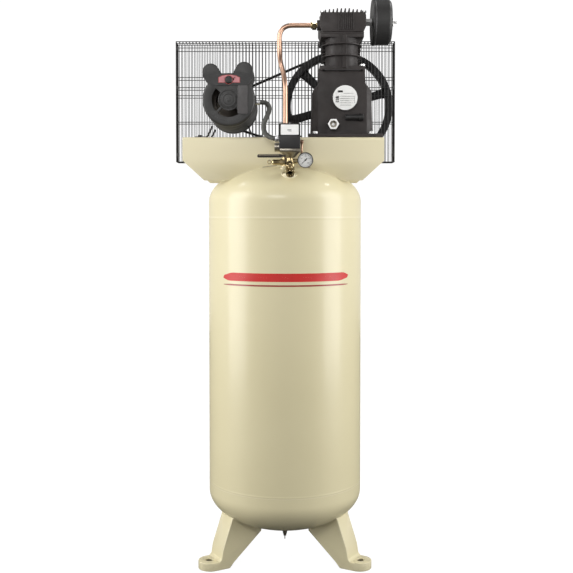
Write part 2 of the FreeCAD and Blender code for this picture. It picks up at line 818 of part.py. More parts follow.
def make_motor():
    x = size["motor_x"]
    z = size["motor_z"]
    radius = size["motor_radius"]
    shell = cut(
        "shell_tube",
        cylinder("shell_outer", (x, -120, z), radius, 190, "y"),
        cylinder("shell_inner", (x, -125, z), radius - 3, 200, "y"),
    )
    node(shell, "motor_shell")

    def bell(name, start, direction, label, holes=()):
        form = turned(name + "_form", [
            (9, 30), (9, 0), (22, 0), (32, 3), (54, 1), (radius - 5, 0), (radius, 6), (radius, 45),
            (radius - 4, 45), (radius - 4, 12), (radius - 10, 7), (32, 9), (24, 12), (24, 30),
        ], start, direction)
        openings = cut(
            name + "_openings",
            cylinder(name + "_opening_ring", start, 54, 60, direction),
            cylinder(name + "_opening_core", start, 33, 60, direction),
            *[
                spoke(f"{name}_spoke_{degrees}", start, degrees, 7, 60)
                for degrees in (45, 135)
            ],
            closed_quarter(name + "_closed", start),
        )
        pocket_start = (start[0], start[1] + (14 if direction == "y" else -14), start[2])
        pocket = cylinder(name + "_pocket", pocket_start, 19, 40, direction)
        node(cut(name, form, openings, pocket, *holes), label)

    def closed_quarter(name, start):
        """The upper quarter of a bell, between two spokes, which stays closed."""
        quarter = box(name, (0, -60, 0), 80, 120, 80)
        quarter.Placement = FreeCAD.Placement(
            Vector(*(float(value) for value in start)), Rotation(Vector(0, 1, 0), -45)
        ).multiply(quarter.Placement)
        return quarter

    def spoke(name, start, degrees, wide, deep):
        bar = box(name, (-60, -deep, -wide / 2), 120, 2 * deep, wide)
        bar.Placement = FreeCAD.Placement(
            Vector(*(float(value) for value in start)), Rotation(Vector(0, 1, 0), degrees)
        ).multiply(bar.Placement)
        return bar

    button_hole = cylinder("button_hole", (x, -170, z + 62), 12.3, 20, "y")
    bell("front_bell", (x, -165, z), "y", "motor_front_bell", [button_hole])
    bell("rear_bell", (x, 115, z), "-y", "motor_rear_bell")

    stator = cut(
        "stator_solid",
        fuse(
            "stator_form",
            cylinder("stator_core", (x, -70, z), radius - 3, 95, "y"),
            cylinder("stator_coils", (x, -92, z), radius - 14, 138, "y"),
        ),
        cylinder("stator_bore", (x, -100, z), 46, 160, "y"),
    )
    node(stator, "motor_stator")

    rotor = fuse(
        "rotor_form",
        cylinder("rotor_core", (x, -70, z), 45, 95, "y"),
        cylinder("motor_shaft", (x, -151, z), size["motor_shaft_radius"], 338, "y"),
        cylinder("fan_hub", (x, 46, z), 22, 22, "y"),
        *[
            spoke(f"fan_blade_{degrees}", (x, 62, z), degrees, 3, 9)
            for degrees in (0, 30, 60, 90, 120, 150)
        ],
    )
    node(rotor, "motor_rotor")

    feet = []
    for side, label in ((-1, "left"), (1, "right")):
        struts = [
            padded(f"base_{label}_{y}", [
                (side * 56, 38), (side * 60, 38), (side * 77, 3), (side * 77, 0), (side * 74, 0),
            ], 26, (x, y, size["plate_top"]))
            for y in (-85, 45)
        ]
        runner = block(f"base_{label}_runner", (x + side * 93.5, -20, size["plate_top"]), 39, 170, 3)
        feet.append(cut(
            f"base_{label}_fitted", fuse(f"base_{label}_form", runner, *struts),
            cylinder(f"base_{label}_shell", (x, -150, z), radius, 300, "y"),
        ))
    for side in (-1, 1):
        for y in (-85, 45):
            feet.append(bolt(f"base_bolt_{side}_{y}", (x + side * 99, y, size["plate_top"] + 3), 15, 6, 4, 0))
    node(group("base_set", *feet), "motor_base")

    covers = []
    cans = []
    for side, across, up, cover_radius in (("left", -58, 89, 27), ("right", 48.4, 93, 28.5)):
        away = math.degrees(math.atan2(up, across))
        reach = math.hypot(across, up)

        def lozenge(name, inset):
            start_y = -156 + inset
            deep = 188 - 2 * inset
            lobe_x, lobe_z = on_circle(reach, away)
            lobe = cylinder(name + "_lobe", (x + lobe_x, start_y, z + lobe_z), cover_radius - inset, deep, "y")
            neck = box(name + "_neck", (0, start_y, inset - cover_radius), reach, deep, 2 * (cover_radius - inset))
            neck.Placement = FreeCAD.Placement(
                Vector(float(x), 0, float(z)), Rotation(Vector(0, 1, 0), -away)
            ).multiply(neck.Placement)
            return fuse(name, lobe, neck)

        covers.append(cut(
            f"capacitor_cover_{side}_solid",
            lozenge(f"cover_{side}_outer", 0),
            lozenge(f"cover_{side}_inner", 2),
            cylinder(f"cover_{side}_seat", (x, -200, z), radius, 400, "y"),
        ))
        can_x, can_z = on_circle(reach + 1, away)
        cans.append(cylinder(f"capacitor_{side}_can", (x + can_x, -110, z + can_z), 20, 120, "y"))
    node(group("cover_pair", *covers), "capacitor_covers")
    node(group("can_pair", *cans), "capacitors")

    node(block("terminal_plate", (x + 44, -167, z - 45), 32, 2, 90), "terminal_cover")
    button = fuse(
        "button_form",
        cylinder("button_cap", (x, -173, z + 62), 12, 11, "y"),
        cylinder("button_stem", (x, -163, z + 62), 4, 12, "y"),
    )
    node(button, "reset_button")


def make_bearings():
    """Two bearings in the motor and two on the crankshaft."""
    motor = (float(size["motor_x"]), float(size["motor_z"]))
    crank = (float(size["pump_x"]), float(size["crank_z"]))
    places = [
        ("motor_front", motor, -151, 12, 19, size["motor_shaft_radius"]),
        ("motor_rear", motor, 89, 12, 19, size["motor_shaft_radius"]),
        ("crank_front", crank, -81, 12, 20, 10),
        ("crank_rear", crank, 90, 28, 25, size["shaft_radius"]),
    ]
    races = []
    for name, (x, z), y, wide, outer, inner in places:
        races.append(cut(
            f"bearing_{name}",
            cylinder(f"bearing_{name}_outer", (x, y, z), outer, wide, "y"),
            cylinder(f"bearing_{name}_inner", (x, y - 1, z), as_size(inner) + FIT, wide + 2, "y"),
        ))
    node(group("bearing_set", *races), "ball_bearings")


# ---------------------------------------------------------------- belt drive

def make_flywheel():
    x = size["pump_x"]
    z = size["crank_z"]
    y = size["belt_y"]
    radius = size["flywheel_radius"]
    half = size["flywheel_width"] / 2
    groove_half = size["belt_width"] / 2 + CLEAR
    groove_radius = size["flywheel_belt_radius"] - size["belt_thick"] - CLEAR
    inner = radius - size["flywheel_rim"]
    rim = turned("rim", [
        (inner, -half), (radius, -half), (radius, -groove_half), (groove_radius, -groove_half),
        (groove_radius, groove_half), (radius, groove_half), (radius, half), (inner, half),
    ], (x, y, z), "y")
    hub = cylinder("wheel_hub", (x, 136, z), 34, 51, "y")
    spokes = []
    for number in range(3):
        bar = box(f"wheel_spoke_{number}", (-inner - 3, -8, -14.5), 2 * inner + 6, 16, 29)
        bar.Placement = FreeCAD.Placement(
            Vector(float(x), float(y), float(z)), Rotation(Vector(0, 1, 0), -16.4 - 60 * number)
        ).multiply(bar.Placement)
        spokes.append(bar)
    wheel = cut(
        "wheel",
        fuse("wheel_form", rim, hub, *spokes),
        cylinder("wheel_bore", (x, 120, z), size["shaft_radius"], 80, "y"),
    )
    node(wheel, "flywheel")

    belt_radius = size["pulley_belt_radius"]
    pulley = turned("pulley_form", [
        (size["motor_shaft_radius"], -16), (22, -16), (22, -groove_half - 4), (belt_radius + 1, -groove_half - 3),
        (belt_radius + 1, -groove_half), (belt_radius - size["belt_thick"] - CLEAR, -groove_half),
        (belt_radius - size["belt_thick"] - CLEAR, groove_half), (belt_radius + 1, groove_half),
        (belt_radius + 1, groove_half + 3), (22, groove_half + 4), (size["motor_shaft_radius"], groove_half + 4),
    ], (size["motor_x"], y, size["motor_z"]), "y")
    node(pulley, "motor_pulley")


def loop_face(wheel_radius, pulley_radius):
    """The area inside a belt line that runs round both wheels."""
    wheel = Vector(float(size["pump_x"]), 0, float(size["crank_z"]))
    pulley = Vector(float(size["motor_x"]), 0, float(size["motor_z"]))
    along = wheel - pulley
    distance = along.Length
    heading = math.atan2(along.z, along.x)
    opening = math.acos((pulley_radius - wheel_radius) / distance)

    def point(centre, radius, angle):
        return centre + Vector(radius * math.cos(angle), 0, radius * math.sin(angle))

    upper = heading + opening
    lower = heading - opening
    edges = [
        Part.LineSegment(point(pulley, pulley_radius, upper), point(wheel, wheel_radius, upper)).toShape(),
        Part.Arc(
            point(wheel, wheel_radius, upper), point(wheel, wheel_radius, heading),
            point(wheel, wheel_radius, lower),
        ).toShape(),
        Part.LineSegment(point(wheel, wheel_radius, lower), point(pulley, pulley_radius, lower)).toShape(),
        Part.Arc(
            point(pulley, pulley_radius, lower), point(pulley, pulley_radius, heading + math.pi),
            point(pulley, pulley_radius, upper),
        ).toShape(),
    ]
    return Part.Wire(edges)


def make_belt():
    thick = float(size["belt_thick"])
    wide = float(size["belt_width"])
    outer = loop_face(float(size["flywheel_belt_radius"]), float(size["pulley_belt_radius"]))
    inner = loop_face(
        float(size["flywheel_belt_radius"]) - thick, float(size["pulley_belt_radius"]) - thick
    )
    face = Part.Face(outer).cut(Part.Face(inner))
    shape = face.extrude(Vector(0, wide, 0))
    shape.translate(Vector(0, float(size["belt_y"]) - wide / 2, 0))
    node(free_shape("belt_loop", shape.Solids[0]), "drive_belt")


def grid_panel(width, height, across, up, thick):
    """A flat panel of crossed bars: across and up list the bars' middles."""
    bar = float(size["guard_wire"])
    openings = []
    for left, right in zip(across, across[1:]):
        for low, high in zip(up, up[1:]):
            corners = [
                Vector(left + bar / 2, low + bar / 2, 0), Vector(right - bar / 2, low + bar / 2, 0),
                Vector(right - bar / 2, high - bar / 2, 0), Vector(left + bar / 2, high - bar / 2, 0),
            ]
            openings.append(Part.makePolygon(corners + corners[:1]))
    frame = [Vector(0, 0, 0), Vector(width, 0, 0), Vector(width, height, 0), Vector(0, height, 0)]
    face = Part.makeFace([Part.makePolygon(frame + frame[:1])] + openings, "Part::FaceMakerBullseye")
    return face.extrude(Vector(0, 0, thick))


def spaced(length, pitch):
    """Middles of evenly spaced bars that fill a length, with one at each end."""
    bar = float(size["guard_wire"])
    count = round((length - bar) / pitch)
    return [bar / 2 + (length - bar) * number / count for number in range(count + 1)]


def make_guard():
    left = -float(size["guard_left"])
    right = float(size["guard_right"])
    low = float(size["guard_low"])
    high = float(size["guard_high"])
    front = float(size["guard_front"])
    back = float(size["guard_back"])
    bar = float(size["guard_wire"])
    pitch = float(size["guard_pitch"])
    width = right - left
    height = high - low
    depth = back - front - bar - 0.3
    columns = spaced(width, pitch)
    rows = [bar / 2, 139.4, 231.4, 259.4, 294.4, 396.4, height - bar / 2]

    def upright(panel, y):
        panel.rotate(Vector(), Vector(1, 0, 0), 90)
        panel.translate(Vector(left, y + bar, low))
        return panel

    front_panel = upright(grid_panel(width, height, columns, rows, bar), front)
    for x, z, radius in (
        (size["motor_x"], size["motor_z"], 70), (size["pump_x"], size["crank_z"], 88),
    ):
        hole = Part.makeCylinder(radius, 40, Vector(float(x), front - 20, float(z)), Vector(0, 1, 0))
        front_panel = front_panel.cut(hole)
    node(free_shape("guard_front_wires", front_panel), "guard_front")

    back_panel = upright(grid_panel(width, height, columns, rows, bar), back - bar)
    start = back - depth
    deep_rows = [bar / 2, depth / 2, depth - bar / 2]
    top_panel = grid_panel(width, depth, columns, deep_rows, bar)
    top_panel.translate(Vector(left, start, high - bar))
    bottom_panel = grid_panel(width, depth, columns, deep_rows, bar)
    bottom_panel.translate(Vector(left, start, low))
    sides = []
    for x in (left, right - bar):
        side = grid_panel(depth, height, spaced(depth, pitch), rows, bar)
        side.rotate(Vector(), Vector(1, 1, 1), 120)
        side.translate(Vector(x, start, low))
        sides.append(side)
    cage = back_panel.fuse([top_panel, bottom_panel] + sides)
    node(free_shape("guard_rear_wires", cage), "guard_rear")


# ---------------------------------------------------------------- pipework and controls

def make_discharge():
    x_head = 187 - 82
    route = [
        (x_head - 10, -60, 1764), (-18, -60, 1764), (-18, -60, 1655), (1, -141, 1575), (1, -141, 1352),
    ]
    node(tube("discharge", route, size["discharge_radius"], 32, 1.0), "discharge_tube")
    x, y = CHECK
    nuts = [
        cut(
            "head_nut",
            fuse(
                "head_nut_form",
                hexagon("head_nut_hex", (x_head - 16, -60, 1764), 30, 14, "x"),
                cylinder("head_nut_neck", (x_head - 2.2, -60, 1764), 9, 14, "x"),
            ),
            cylinder("head_nut_bore", (x_head - 20, -60, 1764), size["discharge_radius"], 40, "x"),
        ),
        cut(
            "check_nut",
            hexagon("check_nut_hex", (x, y, 1352), 27, 16),
            cylinder("check_nut_bore", (x, y, 1345), size["discharge_radius"], 40),
        ),
    ]
    node(group("tube_nuts", *nuts), "tube_fittings")
    valve = cut(
        "check_valve_solid",
        fuse(
            "check_valve_form",
            cylinder("check_neck", (x, y, 1290), 7, 12),
            hexagon("check_hex", (x, y, 1300), 28, 22),
            cylinder("check_body", (x, y, 1321), 11, 31),
            cylinder("check_side_port", (x, y, 1320), 5, 20, "x"),
        ),
        cylinder("check_bore", (x, y, 1285), 4, 90),
    )
    node(valve, "check_valve")


def make_manifold():
    x = 16
    y = -190
    body = fuse(
        "manifold_form",
        cylinder("manifold_neck", (OUTLET[0], OUTLET[1], 1260), 9.9, 32),
        cylinder("manifold_body", (x, y, 1281.2), 12, 34),
        cylinder("manifold_riser", (x, y, 1314), 10, 11),
        cylinder("manifold_left", (x, y, 1310), 9, 22, "-x"),
        cylinder("manifold_right", (x, y, 1313), 8, 24, "x"),
        cylinder("manifold_front", (x, y, 1305), 8.5, 24, OUTLET_WAY),
    )
    node(body, "manifold")

    downward = OUTLET_WAY
    stem = OUTLET_STEM
    start = Vector(x, y, 1305) + downward * 24.1
    barrel = cut(
        "ball_valve_solid",
        fuse(
            "ball_valve_form",
            hexagon("valve_rear_hex", tuple(start), 28, 10, downward),
            cylinder("valve_barrel", tuple(start + downward * 9), 12.5, 20, downward),
            cylinder("valve_mouth", tuple(start + downward * 28), 12.8, 12, downward),
            cylinder("valve_neck", tuple(start + downward * 18), 6, 18, stem),
        ),
        cylinder("valve_bore", tuple(start + downward * 2), 7, 60, downward),
        cylinder("valve_thread", tuple(start + downward * 28), 10, 20, downward),
        cylinder("valve_stem_bore", tuple(start + downward * 18), 3 + FIT, 40, stem),
    )
    node(barrel, "ball_valve_body")

    hub = start + downward * 18 + stem * 18.3
    frame = FreeCAD.Placement(hub, Rotation(Vector(-1, 0, 0), downward, stem, "XZY"))
    pieces = [
        box("lever_foot", (-8, -21, 0), 24, 28, 2.5),
        box("lever_rise", (13.5, -21, 0), 2.5, 12, 26.5),
        box("lever_arm", (13.5, -21, 24), 88, 12, 2.5),
        cylinder("lever_stem", (0, 0, -14), 3, 20),
        hexagon("lever_nut", (0, 0, 2.5), 11, 5),
    ]
    for piece in pieces:
        piece.Placement = frame.multiply(piece.Placement)
    node(fuse("lever_form", *pieces), "ball_valve_lever")

    relief = cut(
        "relief_solid",
        fuse(
            "relief_form",
            hexagon("relief_hex", (x - 22.2, y, 1310), 21, 9, "-x"),
            cylinder("relief_body", (x - 31, y, 1310), 8.5, 22, "-x"),
            cone("relief_tip", (x - 53, y, 1310), 8.5, 5, 4, "-x"),
        ),
        cylinder("relief_bore", (x - 36, y, 1310), 2 + FIT, 30, "-x"),
    )
    node(relief, "relief_valve_body")
    pull = fuse(
        "pull_form",
        cylinder("pull_pin", (x - 50, y, 1310), 2, 10, "-x"),
        ring("pull_ring", (x - 65, y, 1310), 5.5, 1.2, "y"),
    )
    node(pull, "relief_valve_ring")

    gauge_x, gauge_z = 64.5, 1316
    case = fuse(
        "gauge_case_form",
        cut(
            "gauge_cup",
            cylinder("gauge_outer", (gauge_x, y + 12, gauge_z), 24.5, 27, "-y"),
            cylinder("gauge_inner", (gauge_x, y, gauge_z), 22.5, 40, "-y"),
        ),
        cylinder("gauge_stem", (x + 24.2, y, 1313), 5, 1.7, "x"),
    )
    node(case, "gauge_case")
    needle = fuse(
        "needle_form",
        cylinder("needle_hub", (gauge_x, y - 0.4, gauge_z), 2.5, 6, "-y"),
        turned_needle(gauge_x, y - 5, gauge_z),
    )
    node(needle, "gauge_needle")


def turned_needle(x, y, z):
    """A tapered pointer with a short tail, pointing down to the left."""
    blade = padded("needle_blade", [(-8, -1.6), (17, -0.5), (17, 0.5), (-8, 1.6)], 0.8)
    blade.Placement = FreeCAD.Placement(
        Vector(float(x), float(y), float(z)), Rotation(Vector(0, 1, 0), 135)
    )
    return blade


def make_switch():
    base = fuse(
        "switch_base_form",
        block("switch_tray", (16, -192, 1341), 64, 62, 9.5),
        cone("switch_funnel", (16, -190, 1325), 16, 30, 16.1),
        cylinder("switch_hub", (-15.9, -192, 1357), 14, 17, "-x"),
        block("switch_ear", (-14, -192, 1345), 4, 40, 28),
    )
    node(base, "pressure_switch_base")
    outside = padded("switch_cover_outside", [
        (-224, 1350.6), (-224, 1389), (-197, 1432), (-163, 1432), (-163, 1350.6),
    ], 66, (15, 0, 0), "YZ_Plane")
    inside = padded("switch_cover_inside", [
        (-221.5, 1340), (-221.5, 1388.3), (-195.6, 1429.5), (-165.5, 1429.5), (-165.5, 1340),
    ], 61, (15, 0, 0), "YZ_Plane")
    cover = cut(
        "switch_cover_solid", outside, inside,
        box("switch_cover_notch", (-25, -215, 1340), 14, 46, 34),
    )
    node(cover, "pressure_switch_cover")
    fitting_x = 48.1
    unloader = group(
        "unloader_set",
        tube("unloader_pipe", [
            (53, -176, 1369), (53, -171, 1343), (52, -156, 1326), (44, -141, 1320), (21.1, -141, 1320),
        ], 3, 12),
        cylinder("unloader_elbow", (fitting_x, -176, 1375), 5, 11, "x"),
    )
    node(unloader, "unloader_line")


def make_conduit():
    route = [
        (-80, -120, 1506), (-60, -122, 1507), (-47, -128, 1486), (-58, -140, 1457), (-70, -155, 1430),
        (-64, -172, 1400), (-45, -184, 1387), (-32, -188, 1384),
    ]
    node(tube("conduit_tube", route, size["conduit_radius"], 200), "conduit")
    ends = [
        cut(
            "conduit_motor_end",
            cylinder("conduit_motor_nut", (-99, -120, 1506), 9, 19, "x"),
            cylinder("conduit_motor_shell", (-178, -150, 1509), 84, 60, "y"),
        ),
        cylinder("conduit_switch_end", (-31.8, -188, 1384), 10.5, 13.6, "x"),
    ]
    node(group("conduit_end_pair", *ends), "conduit_fittings")


def make_everything():
    make_tank()
    for label, degrees in (("tank_leg_left", 210), ("tank_leg_right", 330), ("tank_leg_rear", 90)):
        make_leg(label, degrees)
    make_drain()
    make_top_plate()
    make_crankcase()
    make_cylinders()
    make_head()
    make_pump_bolts()
    make_crank()
    make_filter()
    make_motor()
    make_bearings()
    make_flywheel()
    make_belt()
    make_guard()
    make_discharge()
    make_manifold()
    make_switch()
    make_conduit()


def check_document():
    """Stops if any feature failed or any finished piece is empty or not valid."""
    failed = [item.Name for item in document.Objects if {"Invalid", "Error"} & set(item.State)]
    if failed:
        raise SystemExit(f"failed features: {failed}")
    for piece in nodes:
        if piece.Shape.isNull() or not piece.Shape.isValid() or not piece.Shape.Solids:
            raise SystemExit(f"bad shape: {piece.Label}")


def centre_machine():
    shift = FreeCAD.Placement(Vector(0, float(size["centre_shift"]), 0), Rotation())
    for piece in nodes:
        piece.Placement = shift.multiply(piece.Placement)


make_everything()
centre_machine()
document.recompute()
check_document()
os.makedirs("parts", exist_ok=True)
for finished in nodes:
    finished.Shape.exportStep(f"parts/{finished.Label}.step")
    print(f"{finished.Label:24s} solids {len(finished.Shape.Solids):3d}  volume {finished.Shape.Volume:12.1f}")
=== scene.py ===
import math

import bmesh
import bpy
from mathutils import Matrix, Vector


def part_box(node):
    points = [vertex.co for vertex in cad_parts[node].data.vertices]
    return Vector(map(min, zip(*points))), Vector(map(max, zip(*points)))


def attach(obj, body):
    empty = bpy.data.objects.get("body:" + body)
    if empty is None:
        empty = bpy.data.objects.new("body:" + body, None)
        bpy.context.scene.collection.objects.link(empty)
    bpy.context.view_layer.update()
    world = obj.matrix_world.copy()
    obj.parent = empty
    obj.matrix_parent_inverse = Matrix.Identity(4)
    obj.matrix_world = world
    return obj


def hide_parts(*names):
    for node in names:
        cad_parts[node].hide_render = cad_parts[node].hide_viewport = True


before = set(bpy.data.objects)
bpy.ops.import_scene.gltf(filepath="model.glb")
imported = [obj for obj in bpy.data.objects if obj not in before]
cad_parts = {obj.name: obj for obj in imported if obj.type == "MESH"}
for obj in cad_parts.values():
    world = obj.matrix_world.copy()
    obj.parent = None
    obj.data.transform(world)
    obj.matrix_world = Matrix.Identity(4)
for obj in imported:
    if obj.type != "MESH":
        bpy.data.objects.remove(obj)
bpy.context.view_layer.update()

# A vertical tank air compressor. Shapes are built in millimetres, in the part's own frame, and
# scaled to metres when each piece is finished. Main places and sizes are read from the packed
# CAD nodes, and smaller details are set out from those.

MM = 0.001
UP = Vector((0, 0, 1))
FRONT = Vector((0, -1, 0))
BACK = Vector((0, 1, 0))
RIGHT = Vector((1, 0, 0))
LEFT = Vector((-1, 0, 0))
CORNER_SHARE = 0.48  # of the shorter side, the most that a rounded corner takes


# ---------------------------------------------------------------- places read from the frame

def corners(node):
    low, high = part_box(node)
    return low / MM, high / MM


def middle(node):
    low, high = corners(node)
    return (low + high) / 2


HEAD_LOW, HEAD_HIGH = corners("tank_top_head")
BOTTOM_LOW, BOTTOM_HIGH = corners("tank_bottom_head")
TANK_RADIUS = (HEAD_HIGH.x - HEAD_LOW.x) / 2
TANK_Y = (HEAD_HIGH.y + HEAD_LOW.y) / 2
HEAD_DEPTH = TANK_RADIUS / 2
TANGENT_HIGH = HEAD_HIGH.z - HEAD_DEPTH
TANGENT_LOW = BOTTOM_LOW.z + HEAD_DEPTH
MOTOR = middle("motor_shell")
MOTOR_RADIUS = (corners("motor_shell")[1].z - corners("motor_shell")[0].z) / 2
BELL_FRONT = corners("motor_front_bell")[0].y
CRANK = middle("flywheel")
CASE_FRONT = corners("crankcase")[0].y
PLATE_LOW, PLATE_HIGH = corners("top_plate")
BELT_LOW, BELT_HIGH = corners("drive_belt")


def at(x, y, z):
    """A point given from the tank's axis at floor level."""
    return Vector((x, y + TANK_Y, z))


def dome(x, y, up=True):
    """Height of the tank's top or bottom head at a point, given from the tank's axis."""
    share = 1 - (x * x + y * y) / TANK_RADIUS ** 2
    rise = HEAD_DEPTH * math.sqrt(max(share, 0))
    return TANGENT_HIGH + rise if up else TANGENT_LOW - rise


# ---------------------------------------------------------------- materials

class Look:
    """A node material: a Principled shader with its own layers of variation."""

    def __init__(self, name, **sockets):
        self.material = bpy.data.materials.new(name)
        self.material.use_nodes = True
        self.tree = self.material.node_tree
        self.shader = self.tree.nodes["Principled BSDF"]
        self.place = self.tree.nodes.new("ShaderNodeTexCoord").outputs["Object"]
        self.height = None
        for key, value in sockets.items():
            socket = key.replace("_", " ").title().replace("Ior", "IOR")
            self.shader.inputs[socket].default_value = value

    def node(self, kind, links=None, **settings):
        made = self.tree.nodes.new(kind)
        for key, value in settings.items():
            setattr(made, key, value)
        for key, value in (links or {}).items():
            if isinstance(value, bpy.types.NodeSocket):
                self.tree.links.new(value, made.inputs[key])
            else:
                made.inputs[key].default_value = value
        return made

    def stretched(self, scale):
        return self.node("ShaderNodeMapping", {"Vector": self.place, "Scale": scale}).outputs[0]

    def noise(self, scale, detail=3.0, rough=0.55, along=None):
        links = {"Vector": self.stretched(along) if along else self.place, "Scale": scale,
                 "Detail": detail, "Roughness": rough}
        return self.node("ShaderNodeTexNoise", links).outputs["Fac"]

    def cells(self, scale, feature="F1"):
        links = {"Vector": self.place, "Scale": scale}
        return self.node("ShaderNodeTexVoronoi", links, feature=feature).outputs["Distance"]

    def waves(self, scale, axis="Z", twist=0.0):
        links = {"Vector": self.place, "Scale": scale, "Distortion": twist}
        return self.node("ShaderNodeTexWave", links, bands_direction=axis).outputs["Fac"]

    def range(self, value, low, high, start=0.3, end=0.7):
        links = {"Value": value, "From Min": start, "From Max": end, "To Min": low, "To Max": high}
        return self.node("ShaderNodeMapRange", links).outputs[0]

    def edges(self, start=0.52, end=0.58):
        pointed = self.node("ShaderNodeNewGeometry").outputs["Pointiness"]
        return self.range(pointed, 0, 1, start, end)

    def times(self, first, second):
        return self.node("ShaderNodeMath", {0: first, 1: second}, operation="MULTIPLY").outputs[0]

    def blend(self, factor, first, second):
        made = self.node("ShaderNodeMix", data_type="RGBA")
        made.inputs["Factor"].default_value = 0
        self.tree.links.new(factor, made.inputs["Factor"])
        for socket, value in ((made.inputs[6], first), (made.inputs[7], second)):
            if isinstance(value, bpy.types.NodeSocket):
                self.tree.links.new(value, socket)
            else:
                socket.default_value = (*value, 1)
        return made.outputs[2]

    def mottled(self, scale, detail, dark, light):
        """A tone that wanders between two colours."""
        return self.blend(self.range(self.noise(scale, detail), 0, 1), dark, light)

    def clouded(self, scale, detail, low, high):
        """A value that wanders between two others."""
        return self.range(self.noise(scale, detail), low, high)

    def colour(self, socket):
        self.tree.links.new(socket, self.shader.inputs["Base Color"])

    def rough(self, socket):
        self.tree.links.new(socket, self.shader.inputs["Roughness"])

    def relief(self, height, distance, strength=1.0):
        links = {"Height": height, "Distance": distance, "Strength": strength}
        if self.height:
            links["Normal"] = self.height
        self.height = self.node("ShaderNodeBump", links).outputs[0]
        self.tree.links.new(self.height, self.shader.inputs["Normal"])


def paint_cream(name):
    """Sprayed enamel: faint orange peel, slow changes of tone, and a painted highlight that makes edges
    paler.
    """
    look = Look(name, coat_weight=0.35, coat_roughness=0.16)
    tone = look.mottled(2.2, 3, (0.70, 0.632, 0.402), (0.735, 0.667, 0.432))
    specks = look.range(look.cells(420), 0.35, 0, 0.02, 0.06)
    # Painted highlight: edges and tight curves are given a paler cream.
    edge_highlighted = look.blend(look.edges(), tone, (0.79, 0.72, 0.52))
    look.colour(look.blend(specks, edge_highlighted, (0.62, 0.55, 0.37)))
    look.rough(look.clouded(14, 5, 0.36, 0.46))
    look.relief(look.noise(330, 2), 0.00025, 0.22)
    look.relief(look.noise(9, 2), 0.0012, 0.12)
    return look.material


def casting(name, dark, light, grain=0.0009):
    """Painted sand casting: coarse and fine grain, worn paler along its edges."""
    look = Look(name, coat_weight=0, coat_roughness=0.3, specular_ior_level=0.32)
    tone = look.mottled(18, 4, dark, light)
    worn = tuple(value * 1.7 for value in light)
    look.colour(look.blend(look.times(look.edges(0.51, 0.6), look.noise(60)), tone, worn))
    look.rough(look.clouded(45, 5, 0.42, 0.62))
    look.relief(look.noise(260, 6, 0.7), grain, 0.35)
    look.relief(look.cells(700), 0.0003, 0.25)
    return look.material


def enamel(name, dark, light, low, high, peel=0.25, coat=0.2):
    """Smooth stoved paint on pressed steel, with a painted highlight along its edges."""
    look = Look(name, coat_weight=coat, coat_roughness=0.15)
    tone = look.mottled(7, 4, dark, light)
    # Painted highlight: the edges are made paler than the paint.
    look.colour(look.blend(look.edges(0.53, 0.62), tone, tuple(value * 1.5 for value in light)))
    look.rough(look.clouded(24, 4, low, high))
    look.relief(look.noise(420, 2), 0.0002, peel)
    return look.material


def moulding(name, dark, light):
    """Black moulded plastic with a fine spark-eroded grain."""
    look = Look(name, specular_ior_level=0.45)
    look.colour(look.mottled(20, 3, dark, light))
    look.rough(look.clouded(60, 4, 0.38, 0.5))
    look.relief(look.cells(1500), 0.00025, 0.35)
    return look.material


def metal(name, dark, light, low, high, along=(1, 1, 1), tarnish=None):
    """Bare or plated metal: cloudy tone, drawn or turned marks, dull patches."""
    look = Look(name, metallic=1.0)
    tone = look.mottled(32, 5, dark, light)
    if tarnish:
        tone = look.blend(look.range(look.noise(75, 6, 0.7), 0, 0.75, 0.48, 0.72), tone, tarnish)
    look.colour(tone)
    look.rough(look.clouded(90, 4, low, high))
    look.relief(look.noise(650, 3, 0.6, along), 0.00012, 0.3)
    return look.material


def zinc_plate(name):
    """Bright zinc: small crystal clouds of pale grey."""
    look = Look(name, metallic=1.0)
    crystals = look.range(look.cells(160, "SMOOTH_F1"), 0, 1, 0.1, 0.6)
    look.colour(look.blend(crystals, (0.21, 0.19, 0.155), (0.33, 0.305, 0.255)))
    look.rough(look.clouded(80, 4, 0.26, 0.42))
    look.relief(look.noise(500, 3), 0.00015, 0.3)
    return look.material


def rubber(name, colour, ribs):
    """Dull rubber with a cloth jacket's rows of cord."""
    look = Look(name, specular_ior_level=0.3)
    look.colour(look.mottled(90, 4, colour, tuple(v * 1.8 for v in colour)))
    look.rough(look.clouded(50, 3, 0.62, 0.8))
    look.relief(look.waves(ribs, "DIAGONAL", 0.4), 0.0002, 0.5)
    look.relief(look.noise(900, 4), 0.0002, 0.4)
    return look.material


def printed(name, colour, gloss=0.35, sheen=0.15):
    """Ink or film: flat colour with faint mottling and a soft gloss."""
    look = Look(name, coat_weight=sheen, coat_roughness=0.2)
    look.colour(look.mottled(55, 3, colour, tuple(v * 0.93 for v in colour)))
    look.rough(look.clouded(30, 3, gloss, gloss + 0.1))
    look.relief(look.noise(300, 2), 0.0001, 0.15)
    return look.material


def laminations(name):
    """Stacked core sheets, varnished."""
    look = Look(name, metallic=0.7)
    look.colour(look.blend(look.waves(160, "Y"), (0.10, 0.085, 0.07), (0.22, 0.20, 0.18)))
    look.rough(look.clouded(60, 3, 0.4, 0.6))
    look.relief(look.waves(160, "Y"), 0.0004, 0.6)
    return look.material


def pleated_paper(name):
    look = Look(name, specular_ior_level=0.2)
    # Painted shade: the colour follows the pleats, darker in their folds and paler on their crests.
    look.colour(look.blend(look.waves(70, "Y"), (0.50, 0.42, 0.26), (0.66, 0.57, 0.38)))
    look.rough(look.clouded(60, 3, 0.75, 0.9))
    look.relief(look.waves(70, "Y"), 0.002, 0.7)
    return look.material


def clear(name, tint):
    look = Look(name, alpha=0.05, ior=1.46)
    look.colour(look.mottled(20, 3, tint, tuple(v * 0.98 for v in tint)))
    look.rough(look.clouded(40, 3, 0.02, 0.05))
    return look.material


